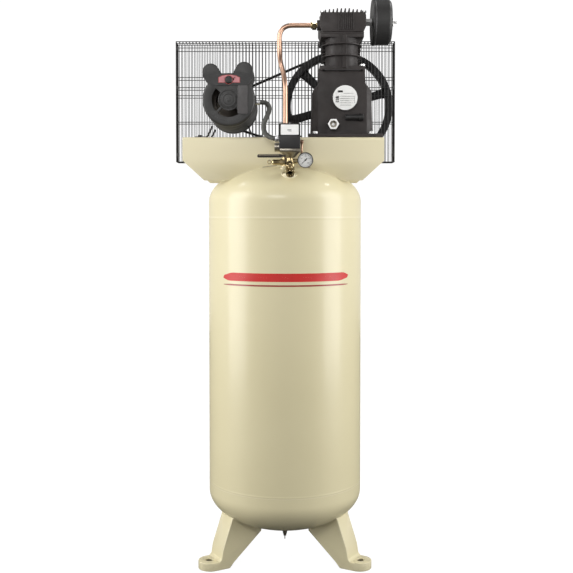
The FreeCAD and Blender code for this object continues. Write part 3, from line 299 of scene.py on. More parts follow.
def floor_paper():
    """Pale floor that brightens away from the object, so that it runs into the backdrop."""
    look = Look("studio_paper", specular_ior_level=0.1, emission_strength=1.0)
    away = look.node("ShaderNodeVectorMath", {0: look.place}, operation="LENGTH").outputs["Value"]
    glow = look.blend(look.range(away, 0, 1, 0.3, 1.2), (0.97, 0.97, 0.97), (1, 1, 1))
    look.tree.links.new(glow, look.shader.inputs["Emission Color"])
    seen = look.node("ShaderNodeLightPath").outputs["Is Camera Ray"]
    look.tree.links.new(seen, look.shader.inputs["Emission Strength"])
    look.colour(look.mottled(1.5, 3, (0.10, 0.10, 0.10), (0.12, 0.12, 0.118)))
    look.rough(look.clouded(6, 3, 0.8, 0.9))
    return look.material


LOOKS = {
    name: maker(name, *details) for name, maker, *details in (
        ("cream_paint", paint_cream),
        ("pump_casting", casting, (0.025, 0.0205, 0.0195), (0.037, 0.0315, 0.030)),
        ("flywheel_iron", casting, (0.012, 0.012, 0.013), (0.022, 0.021, 0.021), 0.0006),
        ("black_paint", enamel, (0.022, 0.0215, 0.021), (0.032, 0.031, 0.030), 0.42, 0.54, 0.25, 0.0),
        ("guard_wire", enamel, (0.008, 0.008, 0.008), (0.016, 0.015, 0.015), 0.4, 0.55, 0.1),
        ("black_plastic", moulding, (0.012, 0.012, 0.012), (0.022, 0.021, 0.021)),
        ("brass", metal, (0.40, 0.315, 0.17), (0.60, 0.49, 0.285), 0.16, 0.3, (1, 1, 1),
         (0.17, 0.125, 0.065)),
        ("copper", metal, (0.60, 0.375, 0.265), (0.66, 0.42, 0.305), 0.3, 0.38),
        ("bright_steel", metal, (0.60, 0.60, 0.60), (0.78, 0.78, 0.77), 0.2, 0.34),
        ("aluminium", metal, (0.70, 0.71, 0.72), (0.82, 0.82, 0.83), 0.3, 0.44, (1, 6, 1)),
        ("core_steel", laminations),
        ("capacitor_can", metal, (0.55, 0.56, 0.57), (0.70, 0.70, 0.70), 0.3, 0.42, (1, 8, 1)),
        ("zinc", zinc_plate),
        ("belt_rubber", rubber, (0.010, 0.010, 0.010), 220),
        ("paper", pleated_paper),
        ("white_label", printed, (0.90, 0.90, 0.88)),
        ("satin_nickel", metal, (0.90, 0.90, 0.89), (0.98, 0.98, 0.97), 0.42, 0.55),
        ("grey_sleeve", moulding, (0.075, 0.075, 0.068), (0.11, 0.11, 0.10)),
        ("grey_cover", moulding, (0.060, 0.056, 0.056), (0.085, 0.080, 0.080)),
        ("red_film", printed, (0.60, 0.017, 0.014), 0.42, 0.08),
        ("deep_red_film", printed, (0.33, 0.03, 0.025), 0.3, 0.3),
        ("faded_red_film", printed, (0.56, 0.20, 0.22)),
        ("grey_ink", printed, (0.09, 0.09, 0.09)),
        # Black for print, gaskets and the gauge pointer, and for the painted shade in the bell's vent
        # slots.
        ("black_ink_and_shade", printed, (0.03, 0.03, 0.03)),
        ("vinyl", rubber, (0.022, 0.018, 0.016), 60),
        # Used for a painted shadow at the plate's flange and a painted highlight on the lever.
        ("painted_shade_and_highlight", rubber, (0.16, 0.14, 0.105), 60),
        ("lens", clear, (0.97, 0.98, 0.98)),
    )
}


# ---------------------------------------------------------------- building shapes

def turning(direction):
    return UP.rotation_difference(Vector(direction))


def circle(count):
    """Evenly spaced angles round a full turn."""
    return [2 * math.pi * step / count for step in range(count)]


def facing(turn):
    """The direction at an angle in a plane that faces the front."""
    return Vector((math.cos(turn), 0, math.sin(turn)))


def at_depth(point, y):
    """The same place as a point, seen from the front, at another depth."""
    return Vector((point.x, y, point.z))


def corner(before, here, after, radius, steps):
    """Points round one corner of a line."""
    back, ahead = before - here, after - here
    reach = min(radius, back.length * CORNER_SHARE, ahead.length * CORNER_SHARE)
    first = here + back.normalized() * reach
    last = here + ahead.normalized() * reach
    return [
        first * (1 - t) ** 2 + here * 2 * t * (1 - t) + last * t * t
        for t in (step / steps for step in range(steps + 1))
    ]


def eased(points, radius, steps=3, closed=True):
    """An outline with rounded corners. A corner's own radius may follow its two coordinates."""
    made = []
    count = len(points)
    for index, point in enumerate(points):
        here = Vector(point[:2])
        own = point[2] if len(point) > 2 else radius
        if own <= 0 or (not closed and index in (0, count - 1)):
            made.append(here)
            continue
        before, after = Vector(points[index - 1][:2]), Vector(points[(index + 1) % count][:2])
        made += corner(before, here, after, own, steps)
    return made


def rounded(low, high, radius, steps=3):
    """A rectangle between two opposite corners, with its corners rounded."""
    (left, bottom), (right, top) = low, high
    return eased([(left, bottom), (right, bottom), (right, top), (left, top)], radius, steps)


def bent(points, radius, steps=10):
    """A path through corner points, with each corner rounded."""
    points = [Vector(point) for point in points]
    made = [points[0]]
    for before, here, after in zip(points, points[1:], points[2:]):
        made += corner(before, here, after, radius, steps)
    return made + [points[-1]]


def shrunk(points, amount):
    """A closed counterclockwise outline moved inwards."""
    made = []
    for index, here in enumerate(points):
        before = (here - points[index - 1]).normalized()
        after = (points[(index + 1) % len(points)] - here).normalized()
        first = Vector((before.y, -before.x))
        out = first + Vector((after.y, -after.x))
        out = out.normalized() if out.length > 1e-6 else first
        made.append(here - out * amount / max(0.35, out.dot(first)))
    return made


class Shape:
    """A mesh in millimetres that parts are added to."""

    def __init__(self):
        self.mesh = bmesh.new()

    def skin(self, rings, joined=False, caps=True):
        rows = [[self.mesh.verts.new(point) for point in ring] for ring in rings]
        count = len(rows[0])
        pairs = list(zip(rows, rows[1:]))
        if joined:
            pairs.append((rows[-1], rows[0]))
        for first, second in pairs:
            for index in range(count):
                following = (index + 1) % count
                self.mesh.faces.new((first[index], first[following], second[following], second[index]))
        if caps and not joined:
            self.mesh.faces.new(rows[0][::-1])
            self.mesh.faces.new(rows[-1])
        return self

    def lathe(self, profile, start, direction=UP, steps=64):
        """Turns a closed profile of (radius, along) round an axis."""
        turn = turning(direction)
        start = Vector(start)
        rings = []
        for point in profile:
            radius, along = max(point[0], 0), point[1]
            rings.append([
                start + turn @ Vector((radius * math.cos(a), radius * math.sin(a), along))
                for a in circle(steps)
            ])
        return self.skin(rings, joined=profile[0][0] > 0.001, caps=False)

    def disc(self, radius, height, start, direction=UP, edge=0.5, steps=48):
        """A short round bar with softened edges."""
        profile = eased([(0, 0, 0), (radius, 0), (radius, height), (0, height, 0)], edge, closed=False)
        return self.lathe(profile, start, direction, steps)

    def tube(self, outer, inner, height, start, direction=UP, edge=0.5, steps=48):
        profile = rounded((inner, 0), (outer, height), edge)
        return self.lathe(profile, start, direction, steps)

    def hexagon(self, across, height, start, direction=UP, bore=0.0, twist=0.0, both=False):
        """A hexagon across its corners, with chamfered corners on its outer end."""
        turn = turning(direction)
        start = Vector(start)
        flat = across / 2 * math.cos(math.pi / 6)
        angles = circle(48)

        def reach(angle):
            return flat / math.cos((angle + math.pi / 6) % (math.pi / 3) - math.pi / 6)

        def ring(radius_of, height_of):
            return [
                start + turn @ Vector((
                    radius_of(a) * math.cos(a + twist), radius_of(a) * math.sin(a + twist), height_of(a)
                ))
                for a in angles
            ]

        crown = flat * 0.97

        def drop(angle):
            return (reach(angle) - crown) * 0.55

        inner = max(bore, 0.01)
        rings = [ring(lambda a: inner, lambda a: 0)]
        if both:
            rings.append(ring(lambda a: crown, lambda a: 0))
        rings.append(ring(reach, lambda a: drop(a) if both else 0))
        rings.append(ring(reach, lambda a: height - drop(a)))
        rings.append(ring(lambda a: crown, lambda a: height))
        rings.append(ring(lambda a: inner, lambda a: height))
        return self.skin(rings, joined=bore > 0, caps=False)

    def slab(self, outline, start, across, up, depth, edge=1.0, steps=3):
        """An outline in the plane of two directions, pushed along their cross product."""
        across, up = Vector(across).normalized(), Vector(up).normalized()
        along = across.cross(up)
        start = Vector(start)
        points = [Vector(point[:2]) for point in outline]
        area = sum(a.x * b.y - b.x * a.y for a, b in zip(points, points[1:] + points[:1]))
        if area < 0:
            points.reverse()
        edge = min(edge, depth * 0.45)
        rings = []
        for far in (False, True):
            for step in range(steps + 1):
                turn = math.pi / 2 * (step if not far else steps - step) / steps
                inset = edge * (1 - math.sin(turn))
                level = edge * (1 - math.cos(turn))
                level = depth - level if far else level
                ring = shrunk(points, inset) if inset > 1e-6 else points
                rings.append([start + across * p.x + up * p.y + along * level for p in ring])
        return self.skin(rings)

    def block(self, low, high, edge=1.0, corner=None):
        """A box between two corners with rounded edges; corner rounds its upright edges."""
        low, high = Vector(low), Vector(high)
        wide, deep = high.x - low.x, high.y - low.y
        corner = edge if corner is None else corner
        outline = rounded((0, 0), (wide, deep), corner, 4)
        return self.slab(outline, low, RIGHT, BACK, high.z - low.z, edge)

    def sweep(self, path, radius, sides=14, joined=False):
        """A round bar along a path; radius may depend on the distance along it."""
        path = [Vector(point) for point in path]
        count = len(path)
        tangents = []
        for index in range(count):
            if joined:
                ahead, behind = path[(index + 1) % count], path[index - 1]
            else:
                ahead, behind = path[min(index + 1, count - 1)], path[max(index - 1, 0)]
            tangents.append((ahead - behind).normalized())
        side = tangents[0].orthogonal().normalized()
        distance = 0.0
        rings = []
        for index, (point, tangent) in enumerate(zip(path, tangents)):
            if index:
                side = tangents[index - 1].rotation_difference(tangent) @ side
                distance += (point - path[index - 1]).length
            other = tangent.cross(side)
            reach = radius(distance) if callable(radius) else radius
            rings.append([
                point + side * (reach * math.cos(a)) + other * (reach * math.sin(a))
                for a in circle(sides)
            ])
        return self.skin(rings, joined=joined)

    def rod(self, start, end, radius, sides=10):
        return self.sweep([start, end], radius, sides)

    def ball(self, centre, radius, squash, direction):
        """A domed button standing on a point."""
        profile = [(0.0, 0.0)] + [
            (radius * math.cos(a), radius * squash * math.sin(a))
            for a in (math.pi / 2 * step / 6 for step in range(7))
        ]
        return self.lathe(profile, centre, direction, 20)

    def washer(self, radius, bore, thick, start):
        return self.tube(radius, bore, thick, start, edge=0.3, steps=32)

    def cad(self, node, edge, segments=2, angle=28):
        """A CAD node's own form, with its sharp edges rounded."""
        made = bmesh.new()
        made.from_mesh(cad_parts[node].data)
        bmesh.ops.scale(made, vec=(1 / MM,) * 3, verts=made.verts)
        bmesh.ops.remove_doubles(made, verts=made.verts, dist=0.02)
        bmesh.ops.dissolve_limit(
            made, angle_limit=math.radians(0.6), verts=made.verts, edges=made.edges,
            use_dissolve_boundaries=False,
        )
        if edge > 0:
            sharp = [
                item for item in made.edges
                if len(item.link_faces) == 2 and item.calc_face_angle(0) > math.radians(angle)
            ]
            bmesh.ops.bevel(
                made, geom=sharp, offset=edge, offset_type="OFFSET", segments=segments,
                profile=0.5, affect="EDGES", clamp_overlap=False,
            )
        keep = bpy.data.meshes.new("part")
        made.to_mesh(keep)
        made.free()
        self.mesh.from_mesh(keep)
        bpy.data.meshes.remove(keep)
        return self


def piece(name, shape, look, *stands_for, body="root", crease=32):
    """Finishes a shape as one named object riding on a CAD body."""
    made = shape.mesh
    bmesh.ops.remove_doubles(made, verts=made.verts, dist=0.002)
    bmesh.ops.recalc_face_normals(made, faces=made.faces)
    for face in made.faces:
        face.smooth = True
    limit = math.radians(crease)
    for edge in made.edges:
        edge.smooth = len(edge.link_faces) != 2 or edge.calc_face_angle(0) < limit
    bmesh.ops.scale(made, vec=(MM,) * 3, verts=made.verts)
    mesh = bpy.data.meshes.new(name)
    made.to_mesh(mesh)
    made.free()
    mesh.materials.append(LOOKS[look])
    item = bpy.data.objects.new(name, mesh)
    bpy.context.scene.collection.objects.link(item)
    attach(item, body)
    if stands_for:
        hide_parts(*stands_for)
    return item


def as_mesh(name, curve):
    """The mesh that a curve or a text makes."""
    holder = bpy.data.objects.new(name, curve)
    bpy.context.scene.collection.objects.link(holder)
    bpy.context.view_layer.update()
    graph = bpy.context.evaluated_depsgraph_get()
    made = bpy.data.meshes.new_from_object(holder.evaluated_get(graph))
    bpy.data.objects.remove(holder)
    return made


def from_cad(name, node, look, edge, segments=2, angle=28, body="root", crease=32):
    """A piece that is its CAD node with softened edges."""
    piece(name, Shape().cad(node, edge, segments, angle), look, node, body=body, crease=crease)


def dress(node, look):
    """Gives a CAD node that stays in view its finished material."""
    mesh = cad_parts[node].data
    mesh.materials.clear()
    mesh.materials.append(LOOKS[look])


# ---------------------------------------------------------------- tank

def head_profile(radius, depth, tangent, seam, wall, sign):
    """A 2:1 head: a short skirt, then half an ellipse, then the same inside."""
    steps = 28
    turns = [math.pi / 2 * step / steps for step in range(steps + 1)]
    outside = [(radius, seam + (tangent - seam) * share) for share in (0, 0.06, 0.3, 0.6, 0.9)] + [
        (radius * math.cos(t), tangent + sign * depth * math.sin(t)) for t in turns
    ]
    inside = [
        ((radius - wall) * math.cos(t), tangent + sign * (depth - wall) * math.sin(t))
        for t in reversed(turns)
    ] + [(radius - wall, seam)]
    return [(0, tangent + sign * (depth - wall))] + inside[1:] + outside


def make_tank():
    wall = 4
    axis = Vector((0, TANK_Y, 0))
    seam_low, seam_high = BOTTOM_HIGH.z, HEAD_LOW.z
    bead_width, bead_height = 7, 0.35

    def bead(start, end):
        return [
            (TANK_RADIUS + bead_height * math.sin(math.pi * step / 8), start + (end - start) * step / 8)
            for step in range(9)
        ]

    flat_low, flat_high = seam_low + bead_width + 2, seam_high - bead_width - 2
    shell = [(TANK_RADIUS - wall, seam_low)] + bead(seam_low, seam_low + bead_width)
    shell += [(TANK_RADIUS, flat_low + (flat_high - flat_low) * step / 12) for step in range(13)]
    shell += bead(seam_high - bead_width, seam_high) + [(TANK_RADIUS - wall, seam_high)]
    piece("shell_rolled", Shape().lathe(shell, axis, steps=192), "cream_paint", "tank_shell")
    for name, tangent, seam, sign, node in (
        ("head_domed_top", TANGENT_HIGH, seam_high, 1, "tank_top_head"),
        ("head_domed_bottom", TANGENT_LOW, seam_low, -1, "tank_bottom_head"),
    ):
        profile = head_profile(TANK_RADIUS, HEAD_DEPTH, tangent, seam, wall, sign)
        piece(name, Shape().lathe(profile, axis, steps=192), "cream_paint", node)

    long_seam = Shape()
    seam_degrees = 118
    turn = math.radians(seam_degrees)
    foot = Vector((TANK_RADIUS * math.cos(turn), TANK_RADIUS * math.sin(turn) + TANK_Y, 0))
    steps = 260
    run = seam_high - seam_low - 8
    ripple = [foot + UP * (seam_low + 4 + run * step / steps) for step in range(steps + 1)]
    long_seam.sweep(ripple, lambda s: 1.5 + 0.25 * math.sin(s * 0.9), 8)
    piece("seam_weld", long_seam, "cream_paint")


def weld_path(shape, points, radius):
    """A laid bead: a ripple along its length."""
    shape.sweep(points, lambda s: radius * (1 + 0.12 * math.sin(s * 1.6)), 8)


def circle_on_dome(x, y, radius, up):
    made = []
    for turn in circle(72):
        px, py = x + radius * math.cos(turn), y + radius * math.sin(turn)
        made.append(at(px, py, dome(px, py, up)))
    return made


OUTLET = Vector((13, -187))
CHECK = Vector((1, -141))


def make_bosses():
    bosses = Shape()
    outlet_foot, check_foot = 1225, 1262
    top = corners("tank_bosses")[1].z
    bosses.tube(22, 10, 49, at(OUTLET.x, OUTLET.y, outlet_foot), edge=2.2)
    bosses.tube(13, 7, top - check_foot, at(CHECK.x, CHECK.y, check_foot), edge=1.5)
    bosses.tube(14, 6, 22, at(0, 0, BOTTOM_LOW.z - 9), edge=1.5)
    piece("ports_welded", bosses, "cream_paint", "tank_bosses")
    welds = Shape()
    for (x, y), radius, up in ((OUTLET, 22.5, True), (CHECK, 13.5, True), ((0, 0), 14, False)):
        ring = circle_on_dome(x, y, radius, up)
        welds.sweep(ring, lambda s: 2.6 * (1 + 0.1 * math.sin(s * 1.4)), 8, joined=True)
    piece("port_welds", welds, "cream_paint")


def make_decal():
    """A plain two-line stripe on the front of the shell."""
    left, right = -50, 52  # degrees round the shell
    film = 0.35

    def stripe(name, look, low, high, slant):
        steps = 48
        skin = TANK_RADIUS + film
        outer, inner = [], []
        for step in range(steps + 1):
            share = step / steps
            ease = min(1, min(share, 1 - share) * 14) ** 0.5
            half = (high - low) / 2 * max(ease, 0.35)
            mid = (low + high) / 2
            for reach, rows in ((skin, outer), (TANK_RADIUS - 0.5, inner)):
                row = []
                for level in (mid - half, mid + half):
                    lean = slant * (level - mid) / (high - low)
                    turn = math.radians(left + (right - left) * share + lean)
                    row.append(Vector((
                        reach * math.sin(turn), TANK_Y - reach * math.cos(turn), level
                    )))
                rows.append(row)
        rings = [[o[0], o[1], i[1], i[0]] for o, i in zip(outer, inner)]
        piece(name, Shape().skin(rings), look, crease=40)

    stripe("stripe_main", "red_film", 936, 962, 4)
    stripe("stripe_fine", "deep_red_film", 921, 926, 1)


def make_legs():
    welds = Shape()
    width, root, reach = 80, 114, 103
    for label, degrees in (("tank_leg_left", 210), ("tank_leg_right", 330), ("tank_leg_rear", 90)):
        from_cad(label.replace("tank_leg", "leg_pressed"), label, "cream_paint", 1.8, 3)
        turn = Matrix.Rotation(math.radians(degrees), 3, "Z")
        for side in (-1, 1):
            path = []
            for step in range(60):
                local = turn @ Vector((root + reach * step / 59, side * width / 2, 0))
                path.append(at(local.x, local.y, dome(local.x, local.y, False) - 1))
            weld_path(welds, path, 2.2)
    piece("leg_welds", welds, "cream_paint")


def make_drain():
    body = Shape()
    body.disc(5.8, 14, at(0, 0, 80), edge=0.4)
    body.hexagon(20, 8, at(0, 0, 72), both=True)
    body.disc(7, 8, at(0, 0, 64), edge=1.2)
    piece("drain_cock_body", body, "zinc", "drain_valve_body")
    low = corners("drain_valve_key")[0]
    key = Shape()
    key.disc(5, 6.4, at(0, 0, 57), edge=1)
    wing = eased([(-13, 1), (13, 1), (13, 8), (7, 10), (-7, 10), (-13, 8)], 3)
    key.slab(wing, Vector((-1.5, at(0, 0, 0).y, low.z)), BACK, UP, 3, 0.8)
    key.disc(2.9, 15, at(0, 0, 57.5), edge=0.3)
    piece("drain_cock_key", key, "zinc", "drain_valve_key", body="drain_key")


# ---------------------------------------------------------------- saddle plate

def make_plate():
    from_cad("saddle_folded", "top_plate", "cream_paint", 0.9, 2, 40, crease=30)
    welds = Shape()
    weld_half = 164
    half = (PLATE_HIGH.y - PLATE_LOW.y) / 2
    for side in (-1, 1):
        path = []
        for step in range(121):
            x = -weld_half + 2 * weld_half * step / 120
            y = side * (half - 0.5)
            path.append(at(x, y, dome(x, y) + 0.8))
        weld_path(welds, path, 2)
    piece("saddle_welds", welds, "cream_paint")
    # Painted shadow: thin dark bars where the front flange of the plate meets the dome.
    gap_shadow = Shape()
    for start, end in ((-72, -26), (50, 82)):
        path = [start + (end - start) * step / 12 for step in range(13)]
        gap_shadow.sweep([at(x, -half - 0.2, dome(x, -half) + 4) for x in path], 0.9, 8)
    piece("saddle_gap_shadow", gap_shadow, "painted_shade_and_highlight")


# ---------------------------------------------------------------- pump

def make_pump():
    for name, node, edge, segments in (
        ("crankcase_cast", "crankcase", 3.0, 3), ("carrier_cast", "bearing_carrier", 1.2, 2),
        ("cylinders_cast", "cylinder_block", 1.1, 2), ("valve_plate_ground", "valve_plate", 0.4, 2),
        ("head_cast", "cylinder_head", 1.6, 3),
    ):
        from_cad(name, node, "pump_casting", edge, segments)
    ribs = Shape()
    low, high = corners("cylinder_head")
    for step in range(8):
        x = 175 + 6.7 * step
        ribs.block((x - 1.6, low.y - 3.5, low.z + 6), (x + 1.6, low.y + 4, low.z + 60), 1)
    piece("head_front_ribs", ribs, "pump_casting")
    gaskets = Shape()
    low, high = corners("cylinder_block")
    left, right, front, rear = low.x + 8, high.x - 8, low.y + 2, high.y - 2
    for first, last in (
        ((left, front), (left + 8, rear)), ((right - 8, front), (right, rear)),
        ((left, front), (right, front + 8)), ((left, rear - 8), (right, rear)),
    ):
        gaskets.block((*first, low.z - 0.8), (*last, low.z + 0.8), 0.3)
    piece("gasket_cylinder", gaskets, "black_ink_and_shade")

    bolts = Shape()
    case_top = corners("cylinder_block")[0].z + 16
    foot = PLATE_HIGH.z + 12
    head = corners("pump_bolts")[1].z - 7
    for x in (98, 280):
        for y in (-99, 113):
            bolts.washer(10, 4.9, 1.6, at(x, y, foot))
            bolts.hexagon(17, 6.4, at(x, y, foot + 1.5), twist=0.3)
            bolts.disc(4.9, 11, at(x, y, foot - 10.5), edge=0.4)
    for x in (121, 253):
        for y in (-70, 96):
            bolts.hexagon(16, 7, at(x, y, case_top), twist=0.2)
    for x in (121.5, 258):
        for y in (-76, 13, 102):
            bolts.hexagon(14, 7, at(x, y, head), twist=0.5)
    piece("bolts_pump", bolts, "bright_steel", "pump_bolts")

    low, high = corners("crankcase_label")
    centre = (low + high) / 2
    seat = Shape().disc(44, 5, at_depth(centre, high.y + 5), FRONT, 1.4, 96)
    piece("label_seat", seat, "pump_casting")
    label = Shape().disc(40, 1.2, at_depth(centre, high.y), FRONT, 0.3, 96)
    piece("label_round", label, "white_label", "crankcase_label")
    ink = Shape()

    def line(left, right, level, tall):
        outline = rounded((left, level), (right, level + tall), 0.3, 1)
        ink.slab([(-p.x, p.y) for p in outline], at_depth(centre, low.y), LEFT, UP, 0.12, 0.02, 1)

    for left, right, level in (
        (-6, 27, 13), (-18, 31, 3.5), (-18, 31, -3.5), (-18, 31, -10.5), (-18, 31, -17.5),
        (-16, 20, -25),
    ):
        line(left, right, level, 1.3)
    line(30, 31.2, -17.5, 22)
    line(-24, -8, 17, 6)
    for level in (-1.5, -8.5, -15.5):
        line(-31, -20.5, level, 5.4)
    piece("label_round_print", ink, "black_ink_and_shade")

    sight = middle("sight_glass")
    face = corners("sight_glass")[0].y
    glass = Shape()
    start = at_depth(sight, CASE_FRONT + 4)
    depth = start.y - face
    glass.hexagon(37, depth, start, FRONT, bore=11.5, twist=math.radians(30))
    glass.tube(14, 11, 2, at_depth(sight, face + 1.4), FRONT, 0.6)
    piece("sight_glass_nut", glass, "satin_nickel", "sight_glass")
    window = Shape().disc(11.6, 2, at_depth(sight, face + 3.6), FRONT, 0.3)
    piece("sight_glass_window", window, "zinc")
    target = Shape().disc(4.5, 0.8, at_depth(sight, face + 1.8), FRONT, 0.3)
    piece("sight_glass_target", target, "aluminium")

    from_cad("oil_plug_cap", "oil_fill_plug", "black_plastic", 1.0, 3)


def make_filter():
    low, high = corners("filter_housing")
    axis = Vector((low.x, (low.y + high.y) / 2, (low.z + high.z) / 2))
    radius = (high.z - low.z) / 2
    long = high.x - low.x
    profile = [
        (12, 0.6, 0.3), (20, 0.6, 0.4), (24, 1.5, 1), (radius - 18, 1.5, 2), (radius - 12, 0, 2),
        (radius - 2, 0, 2.5),
        (radius, 3, 1.5), (radius, 9, 1.5), (radius - 2.4, 11, 1.5), (radius - 2.4, long - 9, 7),
        (radius - 11, long - 0.6, 5), (radius - 20, long - 0.6, 3), (radius - 25, long - 1.8, 2),
        (22, long - 1.8, 2), (16, long, 3), (5, long, 0.6),
        (5, long - 2, 0), (radius - 12, long - 4, 0), (radius - 5, long - 12, 0), (radius - 5, 6, 0),
        (12, 4, 0),
    ]
    can = Shape().lathe(eased(profile, 1, 4), axis, RIGHT, 128)
    piece("filter_can", can, "black_paint", "filter_housing")

    fittings = Shape()
    fittings.disc(9, 10.6, axis + LEFT * 33.5, RIGHT, 0.6)
    fittings.hexagon(26, 23, axis + LEFT * 23, RIGHT, both=True, twist=0.1)
    for ridge in range(3):
        fittings.tube(11.2, 8, 2.2, axis + LEFT * (30 - 3.2 * ridge), RIGHT, 0.9)
    tip = corners("filter_fittings")[1].x
    fittings.disc(4, tip - axis.x - 22, axis + RIGHT * 22, RIGHT, 1)
    wing_x = axis.x + long
    fittings.disc(7, 5.8, Vector((wing_x + 0.2, axis.y, axis.z)), RIGHT, 1.5)
    wing = eased([
        (-3, -13), (0, -14), (3, -13), (2.4, -4), (2.4, 4), (3, 13), (0, 14), (-3, 13), (-2.4, 4),
        (-2.4, -4),
    ], 1.5)
    clipped = [(p.x, max(-12.9, min(12.9, p.y))) for p in wing]
    fittings.slab(clipped, Vector((wing_x + 5.4, axis.y, axis.z)), BACK, UP, 3.6, 1)
    piece("filter_nipple", fittings, "satin_nickel", "filter_fittings")


# ---------------------------------------------------------------- motor

def make_motor():
    low, high = corners("motor_shell")
    y_front, y_back = low.y, high.y
    radius = MOTOR_RADIUS
    long = y_back - y_front
    shell = eased([
        (radius - 3, 0, 0), (radius - 0.4, 0, 1), (radius - 0.4, 6, 0.5), (radius, 7, 0.5),
        (radius, long - 7, 0.5), (radius - 0.4, long - 6, 0.5), (radius - 0.4, long, 1),
        (radius - 3, long, 0),
    ], 0.5)
    band = Shape().lathe(shell, at_depth(MOTOR, y_front), BACK, 128)
    piece("motor_band", band, "black_paint", "motor_shell")
    for label, name in (("motor_front_bell", "bell_front"), ("motor_rear_bell", "bell_rear")):
        from_cad(name, label, "black_paint", 1.0, 2, 35)

    trim = Shape()
    face = at_depth(MOTOR, BELL_FRONT)
    trim.tube(22.5, 17.5, 3, face + BACK * 1.2, FRONT, 1)
    trim.disc(17.6, 4.4, face + BACK * 3.4, FRONT, 1.8)
    trim.ball(face + BACK * 0.6, 9, 0.3, FRONT)
    for degrees in (40, 140, 220, 320):
        turn = math.radians(degrees)
        spot = face + Vector((72 * math.cos(turn), 9, 72 * math.sin(turn)))
        trim.disc(7, 6, spot + BACK * 5, FRONT, 1.4)
        trim.hexagon(11, 4, spot + BACK * 0.5, FRONT, twist=turn)
    trim.tube(34, 30.5, 1.6, face + BACK * 1.2, FRONT, 0.6)
    piece("bell_trim", trim, "black_paint")
    # Painted shade: short dark bars stand for the shaded vent slots low on the front bell.
    slot_shade = Shape()
    for degrees in range(-142, -37, 7):
        turn = math.radians(degrees)
        spot = facing(turn)
        inner = at_depth(MOTOR, BELL_FRONT + 0.6) + spot * 66
        outer = at_depth(MOTOR, BELL_FRONT + 3.6) + spot * 77
        slot_shade.rod(inner, outer, 1.5, 8)
    piece("bell_slot_shade", slot_shade, "black_ink_and_shade")

    from_cad("motor_cradle", "motor_base", "black_paint", 0.7, 2, 30)

    from_cad("ear_covers", "capacitor_covers", "black_paint", 3.2, 3, 40)
    low, high = corners("terminal_cover")
    outline = rounded((low.x, low.z), (high.x, high.z), 5, 4)
    cover = Shape().slab(outline, Vector((0, high.y, 0)), RIGHT, UP, high.y - low.y, 0.7)
    piece("terminal_lid", cover, "grey_cover", "terminal_cover")

    button_up = 62

    def around_button(outline, y, thick, hole):
        """A plate in two halves that leaves a round hole for the reset button."""
        plate = Shape()
        for side in (-1, 1):
            half = [p for p in outline if p[0] * side > 0]
            half.sort(key=lambda p: math.atan2(p[1] - button_up, side * p[0]))
            arc = [
                (side * hole * math.cos(a), button_up + hole * math.sin(a))
                for a in (math.pi / 2 - math.pi * k / 16 for k in range(17))
            ]
            low_z, high_z = min(p[1] for p in outline), max(p[1] for p in outline)
            ring = [(0, low_z)] + half + [(0, high_z)] + arc
            ring = [(p[0] + side * 0.02, p[1]) for p in ring]
            plate.slab(ring, at_depth(MOTOR, y), RIGHT, UP, thick, 0.15, 1)
        return plate

    hat = [
        (-52, 45), (52, 45), (66, 52), (80, 76), (72, 84), (30, 82), (-34, 82), (-76, 84), (-84, 76),
        (-68, 52),
    ]
    piece("bell_hat", around_button(hat, BELL_FRONT + 1.4, 2.2, 12.8), "black_plastic")
    sticker = [(-33, 53), (36, 53), (36, 70), (24, 76), (8, 78.6), (-8, 78.6), (-22, 76), (-33, 70)]
    piece("bell_sticker", around_button(sticker, BELL_FRONT - 0.8, 0.3, 13.2), "deep_red_film")
    inset = [(x * 0.93, 65.5 + (z - 65.5) * 0.84) for x, z in sticker]
    piece("bell_sticker_field", around_button(inset, BELL_FRONT - 1.1, 0.25, 13.8), "faded_red_film")

    low, high = corners("reset_button")
    centre = (low + high) / 2
    collar = Shape().tube(14, 12.3, 2.6, at_depth(centre, BELL_FRONT), FRONT, 0.6)
    piece("reset_collar", collar, "deep_red_film")
    button = Shape()
    cap = eased([(0, 0, 0), (12, 0), (12, 7, 1), (10, 10.6, 2), (4, 11, 1), (0, 11, 0)], 0.8, 3, False)
    button.lathe(cap, at_depth(centre, low.y + 11), FRONT, 48)
    button.disc(4, 12, at_depth(centre, high.y), FRONT, 0.4)
    piece("reset_cap", button, "black_plastic", "reset_button", body="reset_button")


# ---------------------------------------------------------------- belt drive

